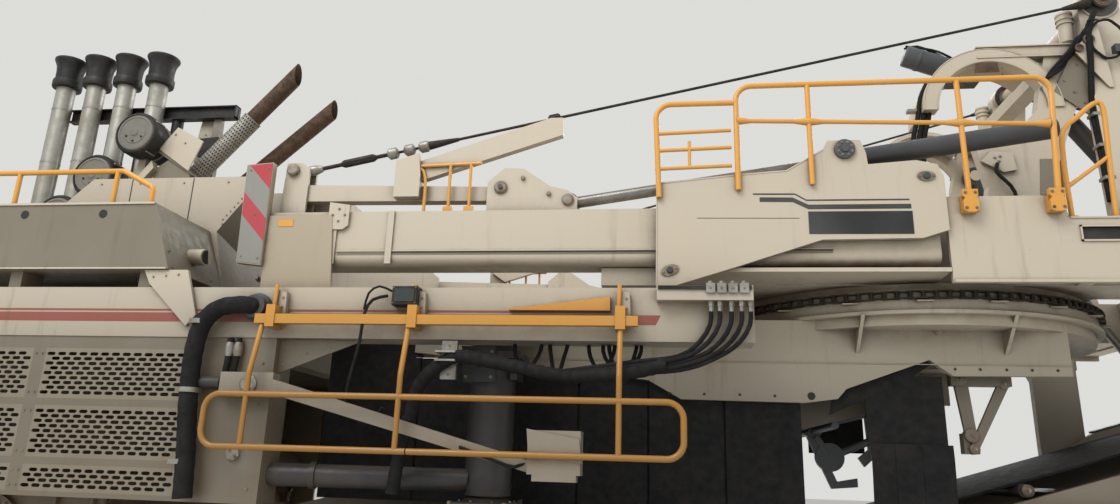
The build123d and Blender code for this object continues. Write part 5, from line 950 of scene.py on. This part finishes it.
# Mast: side plates with bosses, head bearing, ribbed horn, rungs, cables along the leg and a slack loop
mast = Maker("mast_trim", CREAM, "mast_frame", mirrored=True)
MAST_X, MAST_Z = 3.48, 6.48
HORN = ((0, 0.05), (0.06, 0.068), (0.62, 0.068), (0.64, 0.082), (0.68, 0.082), (0.7, 0.072), (0.76, 0.072),
        (0.78, 0.084), (0.84, 0.084), (0.86, 0.074), (0.92, 0.074), (0.94, 0.082), (1.0, 0.08))


def leg_front(z, off=0.0):
    """A point on the front edge of the leaning leg at a height."""
    share = (z - 4.04) / 2.44
    return 3.125 + 0.15 * share, -1.47 + 0.365 * share - off, z


mast.plates(CREAM, -1.345, -1.325, [(3.1, 5.83), (3.23, 6.13), (3.34, 6.18), (3.4, 5.44), (3.36, 5.44)])
for boss_x, boss_z, boss_r in ((3.234, 5.964, 0.055), (3.133, 5.87, 0.042)):
    mast.boss(boss_x, boss_z, -1.325, -1.385,
              ((0, boss_r), (0.7, boss_r), (0.75, boss_r * 0.7), (0.5, boss_r * 0.6), (0.5, boss_r * 0.3)), PULLEY, 24)
mast.boss(MAST_X, MAST_Z, -1.2, -1.208, 0.17, DARK, 32)
mast.boss(MAST_X, MAST_Z, -1.232, -1.3,
          ((0, 0.06), (0.2, 0.06), (0.25, 0.095), (0.75, 0.095), (0.8, 0.05), (1, 0.045)), PULLEY, 28)
mast.bolt_ring((MAST_X, -1.283, MAST_Z), 0.07, 6, 0.014)
mast.boxes(CREAM, (3.2, -1.13, 6.02, 3.4, -1.07, 6.06))
mast.upright(3.17, -1.1, 6.05, 6.4, HORN, CREAM)
mast.hose([(3.4 + 0.155 * cos(pi * k / 7), -1.36 - 0.012 * (k % 2), 5.955 + 0.215 * sin(pi * k / 7))
           for k in range(15)], 0.013)
mast.hose([(3.36, -1.3, 6.3), (3.3, -1.34, 6.2), (3.24, -1.36, 6.05), (3.22, -1.36, 5.75), (3.2, -1.34, 5.5)]
          + [leg_front(z) for z in (5.2, 4.8, 4.4, 4.22)], 0.028, count=12)
mast.hose([leg_front(z, 0.04) for z in (5.35, 5.0, 4.6, 4.25)], 0.016)
for clamp_z in (5.15, 4.8, 4.45):
    x, y, z = leg_front(clamp_z)
    mast.boxes(ZINC, (x - 0.04, y - 0.07, z - 0.015, x + 0.05, y + 0.05, z + 0.015))
mast.boxes(DARK, (3.44, -1.4, 5.8, 3.52, -1.33, 5.88))
for rung in range(5):
    x, y, z = leg_front(4.45 + rung * 0.28)
    mast.boss(x + 0.41, z, y + 0.03, y + 0.22, 0.012, CREAM, 10)
mast.finish()

cables = Maker("mast_cables", RUBBER, "mast_frame")
for side, (shift, thick) in product((-1, 1), ((0.0, 0.02), (0.03, 0.015), (-0.03, 0.014), (0.055, 0.012))):
    cables.hose([(3.34 + shift, side * 1.3, 6.2), (3.24, side * (1.33 + shift), 6.1 + shift),
                 (3.16 + shift, side * 1.34, 5.99), (3.02, side * (1.34 - shift), 5.8 - shift),
                 (2.9 + shift, side * 1.31, 5.66), (2.8, side * (1.3 + shift), 5.55)], thick)
cables.finish(blend=("upper", "mast_frame", (2.85, 0, 5.6), (3.3, 0, 6.15)))

# Side walls of the upper structure: lips, bolts, lifting lugs, the recess, the rear cover, a block under the girder
walls = Maker("upper_trim", CREAM, "upper", mirrored=True)
WALL_FACE = -2.25
walls.boxes(CREAM, (-1.55, -2.1, 3.255, -1.05, -1.93, 3.413),
            (1.4, WALL_FACE - 0.012, 3.25, 4.7, WALL_FACE, 3.275),
            (2.36, WALL_FACE - 0.01, 3.795, 4.7, WALL_FACE, 3.81))
walls.boxes(SEAL, (2.43, WALL_FACE + 0.02, 3.59, 2.93, WALL_FACE + 0.03, 3.73))
for x0, x1, z0, z1 in ((2.42, 2.92, 3.72, 3.735), (2.42, 2.92, 3.595, 3.61), (2.42, 2.435, 3.595, 3.735),
                       (2.905, 2.92, 3.595, 3.735)):
    walls.boxes(CREAM, (x0, WALL_FACE - 0.012, z0, x1, WALL_FACE + 0.02, z1))
walls.bolt_grid(0.018, [3.2 + 0.3 * k for k in range(5)], (WALL_FACE,), (3.34, 3.74))
walls.plates(CREAM, -1.7, -1.66, lug(2.1, 3.81, 0.09, 0.05, 0.18), lug(4.45, 3.81, 0.09, 0.05, 0.18))
# the rear cover takes the shaded cream: painted shade
walls.boxes(SHADED_CREAM, (4.7, -1.9, 3.36, 4.712, -0.25, 3.76))
walls.bolt_grid(0.018, (4.7,), (-2.1, -1.6, -1.1, -0.6), (3.4, 3.72), direction=REAR)
walls.boxes(DARK, (3.1, -0.9, 3.816, 3.72, -0.88, 3.83))
walls.finish()

# Under the ring: rubber between the curtains, brackets, column collars, hanging links; tail flap; dark levers
under = Maker("under_trim", RUBBER, mirrored=True)
for gap_x in (-1.79, -1.14, -0.45):
    under.boxes(RUBBER, (gap_x - 0.06, -1.476, 1.33, gap_x + 0.06, -1.462, 2.4))
under.boxes(RUBBER, (-4.27, -1.5, 1.33, -3.34, -1.478, 2.9), (1.21, -1.499, 1.96, 1.47, -1.479, 2.56))
under.plates(GROUND, -2.52, -2.5, [(-4.331, 2.359), (-3.548, 2.668), (-4.331, 2.668)])
under.bolts(0.012, *flat(-2.52, (-4.25, 2.45), (-4.05, 2.55), (-3.85, 2.61)))
under.plates(DARK, -2.3, -2.275, [(-2.74, 2.665), (-2.44, 2.665), (-2.425, 2.36), (-2.71, 2.35)])
under.boss(-2.57, 2.52, -2.3, -2.312, stepped(0.045, 0.8, 0.8, 0.02), SEAL)
under.bolt_grid(0.016, (-2.69, -2.47), (-2.3,), (2.4, 2.62))
COLLAR_R, COLUMN_Y = 0.206, -2.05
for collar_z in (2.28, 1.86, 1.47):
    under.upright(-2.5, COLUMN_Y, collar_z, collar_z + 0.045, COLLAR_R, DARK, 36)
for (x0, z0), (x1, z1), wide in (((2.058, 2.52), (1.748, 1.94), 0.045), ((1.687, 2.56), (1.735, 2.06), 0.06)):
    across = Vector((z0 - z1, x1 - x0)).normalized() * wide
    start, end = Vector((x0, z0)), Vector((x1, z1))
    under.plates(GROUND, -1.32, -1.28, [start + across, start - across, end - across * 0.8, end + across * 0.8])
    for pin_x, pin_z in (start, end):
        under.boss(pin_x, pin_z, -1.25, -1.345, knob(wide, 0.9, wide * 0.7), GROUND)
        under.bolts(0.02, (pin_x, -1.345, pin_z))
under.boxes(GROUND, (1.6, -1.34, 2.5, 2.12, -1.24, 2.97), (1.67, -1.3, 1.9, 1.8, -1.2, 2.08))
under.finish()

flap = Maker("tail_flap", RUBBER)
for x0, x1, foot, y in ((0.81, 1.02, 1.42, -1.512), (1.01, 1.23, 1.39, -1.518), (1.21, 1.5, 1.36, -1.506)):
    rings = []
    for z in (1.96, 1.85, 1.7, 1.58, foot):
        sway = y + 0.02 * sin(6 * z)
        rings.append([(x0, sway - 0.01, z), (x1, sway - 0.01, z), (x1, sway, z), (x0, sway, z)])
    flap.skin(rings, RUBBER)
flap.finish(squash=("slew", UP, (1.0, -1.5, 1.96), 0.03))

levers = Maker("scraper_levers")
levers.plates(SLATE, 0.08, 0.14, [(0.53, 2.1), (0.69, 2.32), (1.22, 2.42), (1.27, 2.32), (0.76, 2.19), (0.63, 2.03)],
              [(1.16, 2.39), (1.27, 2.37), (1.25, 1.89), (1.13, 1.78), (1.07, 1.87), (1.18, 1.96)])
levers.plates(SLATE, 0.06, 0.12, [(0.54, 2.08), (0.65, 2.05), (0.83, 1.62), (1.04, 1.66), (1.04, 1.57), (0.77, 1.545)])
levers.boss(0.77, 1.87, 0.05, 0.19, stepped(0.15, 0.6, 0.7, 0.11, 0.1), SLATE, 28)
for bar, radius in ((flat(0.09, (0.77, 1.87), (1.2, 2.05)), 0.04), (flat(0.09, (0.63, 2.08), (0.77, 1.87)), 0.045),
                    ([(0.62, -1.03, 2.14), (0.62, 1.03, 2.14)], 0.035)):
    levers.beads(bar, radius, SLATE, 16)
levers.bolts(0.02, *flat(0.06, (0.71, 2.25), (1.2, 2.35), (1.2, 1.89), (0.83, 1.6)))
levers.finish()

# Crawlers: hub covers, beam plates, yoke bolts and a wiper ring round each lifting column
HUB = ((0, 0.3), (0.3, 0.3), (0.34, 0.225), (0.62, 0.205), (0.66, 0.15), (0.95, 0.14), (1, 0.12))
HUB_Z, ROLLER_Z = 0.62, 0.245
for (end, axis_x), (side, level) in product((("front", -11.4), ("rear", -2.5)), (("left", -2.05), ("right", 2.05))):
    crawler = Maker("crawler_trim_" + end + "_" + side, DARK, end + "_" + side + "_track")
    for out, outward in ((-1, LEFT), (1, RIGHT)):
        for hub_x in (axis_x - 1.23, axis_x + 1.23):
            crawler.boss(hub_x, HUB_Z, level + out * 0.15, level + out * 0.285, HUB, GROUND, 32)
            crawler.bolt_ring((hub_x, level + out * 0.19, HUB_Z), 0.262, 12, 0.022, outward)
            crawler.boss(hub_x, HUB_Z, level + out * 0.28, level + out * 0.292, ((0, 0.05), (1, 0.045)), PULLEY, 18)
        for k in range(6):
            roller_x = axis_x + (k - 2.5) * 0.41
            crawler.boss(roller_x, ROLLER_Z, level + out * 0.15, level + out * 0.205,
                         knob(0.075, 0.7, 0.06), DARK)
            crawler.bolts(0.024, (roller_x, level + out * 0.205, ROLLER_Z), direction=outward)
        plate_y = level + out * 0.222
        for x0, x1 in ((axis_x - 0.78, axis_x - 0.28), (axis_x + 0.28, axis_x + 0.78)):
            crawler.boxes(GROUND, (x0, level + out * 0.21, 0.47, x1, plate_y, 0.73))
            crawler.bolt_grid(0.018, (x0 + 0.04, x1 - 0.04), (plate_y,), (0.5, 0.7), direction=outward)
        yoke_y = level + out * 0.4
        crawler.bolt_ring((axis_x, yoke_y, HUB_Z), 0.16, 8, 0.024, outward)
        crawler.bolts(0.024, *((axis_x + x, yoke_y, 1.2) for x in (-0.15, -0.05, 0.05, 0.15)), direction=outward)
        for edge_x in (axis_x - 0.225, axis_x + 0.225):
            crawler.boxes(GROUND, (edge_x - 0.012, level + out * 0.33, 0.95,
                                   edge_x + 0.012, level + out * 0.41, 1.38))
    crawler.upright(axis_x, level, 1.37, 1.412, ((0, 0.215), (0.5, 0.2), (1, 0.165)), SEAL, 32)
    crawler.bolt_ring((axis_x, level, 1.371), 0.235, 8, 0.016, UP)
    crawler.finish()

# Drum: collars and hard tips on the picks, bolted end discs
DRUM_X, DRUM_Z = -7.0, 0.99
PICK_ROWS, PICK_STARTS, PICK_WIDTH = 26, 3, 4.18
picks = Maker("pick_tips", "drum_steel", "drum")
for row, start in product(range(PICK_ROWS), range(PICK_STARTS)):
    row_y = (row + 0.5 - PICK_ROWS / 2) * PICK_WIDTH / PICK_ROWS
    turn = radians(120 * abs(row_y) / 0.7 + start * 120)
    place = (Matrix.Translation((DRUM_X, row_y, DRUM_Z)) @ Matrix.Rotation(turn, 4, "Y")
             @ Matrix.Translation((-0.03, 0, 0.855)) @ Matrix.Rotation(radians(-40), 4, "Y"))
    for z0, z1, profile, slot, count in (
            (-0.004, 0.022, knob(0.05, 0.6, 0.042), "drum_steel", 14),
            (0.066, 0.1, ((0, 0.021), (0.35, 0.018), (1, 0.006)), "rod_steel", 12)):
        picks.lathe(place @ Vector((0, 0, z0)), place @ Vector((0, 0, z1)), profile, slot, count)
for side, way in ((-1, LEFT), (1, RIGHT)):
    picks.bolt_ring((DRUM_X, side * 2.09, DRUM_Z), 0.6, 16, 0.026, way, "rod_steel")
picks.finish()

# Drum housing: bearing covers, ribs, edge lip and rubber apron
housing = Maker("housing_trim", RUBBER, mirrored=True)
housing.boss(DRUM_X, DRUM_Z, -2.25, -2.3, knob(0.22, 0.6, 0.18), GROUND, 36)
housing.bolt_ring((DRUM_X, -2.25, DRUM_Z), 0.262, 16, 0.026)
for rib_x, rib_foot in ((-8.0, 0.55), (-7.62, 0.55), (-6.38, 0.62), (-6.02, 0.62)):
    housing.boxes(GROUND, (rib_x - 0.012, -2.245, rib_foot, rib_x + 0.012, -2.2, 1.28))
housing.boxes(GROUND, (-8.14, -2.235, 0.25, -6.4, -2.2, 0.275))
housing.bolt_grid(0.016, [-8.05 + 0.19 * k for k in range(9)], (-2.2,), (0.31,))
housing.boxes(RUBBER, (-8.17, -2.215, 0.04, -6.38, -2.203, 0.3))
housing.finish()

# Cab: window gaskets, wiper, roof cooler and its slats, roof lamps, handles, seams
cab = Maker("cab_trim")


def gasket(maker, *corners):
    """A rubber bead round a window, through its corners."""
    maker.beads(corners + corners[:1], 0.014, SEAL)


gasket(cab, *flat(-2.563, (-13.3, 4.05), (-12.79, 4.05), (-12.79, 5.04), (-13.3, 5.04)))
gasket(cab, *flat(-0.897, (-13.25, 4.35), (-12.0, 4.35), (-12.0, 5.04), (-13.25, 5.04)))
gasket(cab, (-11.697, -2.31, 4.35), (-11.697, -1.15, 4.35), (-11.697, -1.15, 5.04), (-11.697, -2.31, 5.04))
gasket(cab, (-13.603, -2.44, 3.75), (-13.603, -1.02, 3.75), (-13.603, -1.02, 4.1), (-13.4, -1.02, 5.04),
       (-13.4, -2.44, 5.04), (-13.603, -2.44, 4.1))
cab.lathe((-13.61, -1.73, 3.66), (-13.66, -1.73, 3.66), ((0, 0.05), (0.8, 0.045), (1, 0.02)), SEAL, 20)
cab.lathe((-13.65, -1.73, 3.66), (-13.52, -1.4, 4.55), 0.009, SEAL, 8)
cab.lathe((-13.61, -1.5, 4.16), (-13.46, -1.3, 4.86), 0.013, SEAL, 8)
cab.plates(CREAM, -2.25, -1.25, [(-13.15, 5.25), (-12.15, 5.25), (-12.2, 5.43), (-13.05, 5.43)])
cab.boxes(SEAL, *((-12.185, -2.15, 5.275 + 0.02 * k, -12.15, -1.35, 5.283 + 0.02 * k) for k in range(7)))
cab.plates(CREAM, -2.62, -0.84, [(-13.4, 5.25), (-11.66, 5.25), (-11.66, 5.275), (-13.44, 5.275)])
for lamp_y in (-2.35, -1.95, -1.52, -1.1):
    cab.boxes(DARK, (-13.42, lamp_y - 0.09, 5.275, -13.3, lamp_y + 0.09, 5.38))
    cab.boxes(GLASS, (-13.43, lamp_y - 0.075, 5.288, -13.42, lamp_y + 0.075, 5.367))
for pillar_x, pillar_top in ((-13.5, 3.95), (-11.76, 4.7)):
    cab.upright(pillar_x, -2.62, 3.5, pillar_top, 0.014, ORANGE, 12)
    for bracket_z in (3.5, pillar_top):
        cab.boss(pillar_x, bracket_z, -2.56, -2.626, 0.014, ORANGE, 12)
cab.boxes(SEAL, (-13.454, -2.5625, 3.22, -13.446, -2.56, 4.0), (-12.764, -2.5625, 3.22, -12.756, -2.56, 4.0))
cab.finish()

leaf = Maker("door_trim", CREAM, "door")
gasket(leaf, *flat(-2.563, (-12.61, 3.895), (-11.92, 3.895), (-11.92, 5.01), (-12.61, 5.01)))
leaf.boxes(CREAM, (-12.6, -2.572, 3.32, -11.93, -2.56, 3.78))
leaf.upright(-12.655, -2.6, 3.7, 3.98, 0.012, DARK, 12)
for bracket_z in (3.71, 3.97):
    leaf.boss(-12.655, bracket_z, -2.56, -2.605, 0.012, DARK, 12)
leaf.bolt_grid(0.012, (-12.57, -11.96), (-2.572,), (3.35, 3.75))
leaf.finish()

# Platform and tanks: tread ribs, tank lips, filler necks, doors, lamp glasses, hatches, tow eye bolts
deck = Maker("platform_trim")
# the tread ribs take the shaded cream: painted shade
deck.boxes(SHADED_CREAM, *((-12.95 + 0.085 * k, -0.85, 3.175, -12.91 + 0.085 * k, 0.15, 3.181) for k in range(16)))
for x0, x1, y0, y1 in ((-13.5, -10.7, 0.2, 2.57), (-11.5, -10.7, -2.57, 0.19)):
    deck.boxes(CREAM, (x0 - 0.02, y0, 4.235, x1 + 0.02, y1 + 0.02, 4.262))
    deck.boxes(SEAL, (x0 - 0.015, y0, 3.176, x1 + 0.015, y1 + 0.015, 3.215))
    middle_x, middle_y = (x0 + x1) / 2, (y0 + y1) / 2
    deck.upright(middle_x, middle_y, 4.26, 4.36, stepped(0.13, 0.5, 0.52, 0.16, 0.15), DARK)
    deck.bolt_ring((middle_x, middle_y, 4.262), 0.19, 8, 0.018, UP)
for panel in range(3):
    x0 = -13.4 + 0.92 * panel
    deck.boxes(CREAM, (x0, 2.57, 3.32, x0 + 0.84, 2.582, 4.12))
    deck.bolt_grid(0.018, (x0 + 0.05, x0 + 0.79), (2.582,), (3.38, 3.72, 4.06), direction=RIGHT)
deck.boxes(GLASS, *((-13.912, y - 0.09, 3.195, -13.9, y + 0.09, 3.335) for y in (-2.3, -1.2, 1.2, 2.3)))
deck.boxes(CREAM, *((-12.9, y - 0.25, 4.262, -12.3, y + 0.25, 4.276) for y in (0.75, 2.0)))
for eye_y in (-0.9, 0.9):
    deck.bolt_ring((-13.705, eye_y, 2.89), 0.16, 6, 0.022, FRONT)
deck.finish()

# Deck boxes: lids and latches along the side decks
boxes = Maker("deck_boxes", DARK, mirrored=True)
for x0 in (-10.4, -9.47):
    # the lids take the shaded cream: painted shade, like the deck faces
    boxes.boxes(SHADED_CREAM, (x0, -2.672, 3.38, x0 + 0.8, -2.66, 3.78))
    for latch_x in (x0 + 0.18, x0 + 0.62):
        boxes.boxes(DARK, (latch_x - 0.02, -2.684, 3.71, latch_x + 0.02, -2.672, 3.77))
boxes.finish()

# Conveyor: flange lips, web ribs, idler brackets, return rollers, bearings, head cover and scraper
boom_trim = Maker("conveyor_trim", DARK, "conveyor", mirrored=True)
BOOM_SLOPE = radians(17)
BOOM_HEAD = 12.567
BOOM_FACE = -1.0


def on_boom(run, rise):
    """X and Z of a point along and above the conveyor's pivot line."""
    return (1.75 + run * cos(BOOM_SLOPE) - rise * sin(BOOM_SLOPE),
            1.28 + run * sin(BOOM_SLOPE) + rise * cos(BOOM_SLOPE))


def boom_strip(maker, first, second, thick, y_near, y_far):
    """A flat bar along the conveyor's side between two points of its side view."""
    first, second = Vector(first), Vector(second)
    across = Vector((first.y - second.y, second.x - first.x)).normalized() * thick
    maker.plates(DARK, y_near, y_far, [on_boom(*point) for point in (first, second, second + across, first + across)])


def boom_arc(radius, degrees):
    """Points round the head pulley's axis."""
    return [on_boom(BOOM_HEAD + radius * sin(radians(a)), radius * cos(radians(a))) for a in degrees]


for first, second in (((-0.7, -0.235), (3.5, -0.355)), ((3.5, -0.355), (12.6, -0.175)),
                      ((2.32, 0.3), (9.0, 0.3)), ((9.0, 0.3), (12.6, 0.065))):
    boom_strip(boom_trim, first, second, 0.022, -1.055, -0.94)
for k in range(8):
    run = 2.425 + 1.15 * k
    boom_strip(boom_trim, (run, -0.31 + 0.012 * k), (run, 0.27 - 0.05 * max(0, k - 5)), 0.02, -1.045, BOOM_FACE)
for k in range(9):
    run = 0.6 + 1.4 * k
    x, z = on_boom(run, 0.15 if run < 9 else 0.03)
    boom_trim.boss(x, z, BOOM_FACE, -1.03, knob(0.055, 0.6, 0.035), PULLEY, 18)
    boom_trim.bolts(0.026, (x, -1.03, z))
for k in range(7):
    boom_trim.boss(*on_boom(1.9 + 1.4 * k, -0.3 + 0.01 * k), -0.94, 0, 0.045, PULLEY, 16)
for run in (-0.48, BOOM_HEAD):
    x, z = on_boom(run, 0)
    boom_trim.boss(x, z, BOOM_FACE, -1.075, ((0, 0.14), (0.3, 0.14), (0.4, 0.105), (0.9, 0.1), (1, 0.08)), DARK, 28)
    boom_trim.bolt_ring((x, -1.0225, z), 0.12, 6, 0.018)
boom_trim.plates(DARK, -0.99, 0.0, boom_arc(0.29, range(-50, 51, 10)) + boom_arc(0.275, range(50, -51, -10)))
boom_trim.boss(*on_boom(BOOM_HEAD - 0.12, -0.262), -0.96, 0, 0.03, DARK, 12)
for run, rise in product((3.3, 9.9), (0.02, 0.22)):
    x, z = on_boom(run, rise)
    boom_trim.bolts(0.024, (x - 0.1, BOOM_FACE, z), (x + 0.1, BOOM_FACE, z))
boom_trim.finish()

# Counterweight: cast seams, lifting lugs and bolts across its front
block = Maker("counterweight_trim", CREAM, "counterweight_carriage", mirrored=True)
BLOCK_FACE = -4.96
block.boxes(SEAL, *((-4.966, y - 0.008, 3.19, BLOCK_FACE, y + 0.008, 4.27) for y in (-0.75, -1.5)),
            *((-4.966, -2.2, z - 0.006, BLOCK_FACE, 0, z + 0.006) for z in (3.55, 3.92)))
block.bolt_grid(0.034, (BLOCK_FACE,), (-0.25, -1.12, -1.85), (3.37, 3.73, 4.1), direction=FRONT)
block.plates(CREAM, -0.72, -0.68, lug(-4.58, 4.28, 0.08, 0.05, 0.14))
block.boss(-4.58, 4.37, -0.655, -0.745, 0.028, SEAL, 18)
block.finish()

# Outer beams: bolted joints, and collars on the front lifting columns
beams = Maker("beam_fittings", mirrored=True)
for joint_x in (-12.9, -9.6):
    beams.boxes(GROUND, (joint_x - 0.11, -2.612, 2.69, joint_x + 0.11, BEAM_FACE, 3.09))
    beams.bolt_grid(0.022, (joint_x - 0.07, joint_x + 0.07), (-2.612,), (2.75, 2.89, 3.03))
for collar_z in (1.46, 2.3):
    beams.upright(-11.4, COLUMN_Y, collar_z, collar_z + 0.045, COLLAR_R, DARK, 36)
beams.finish()
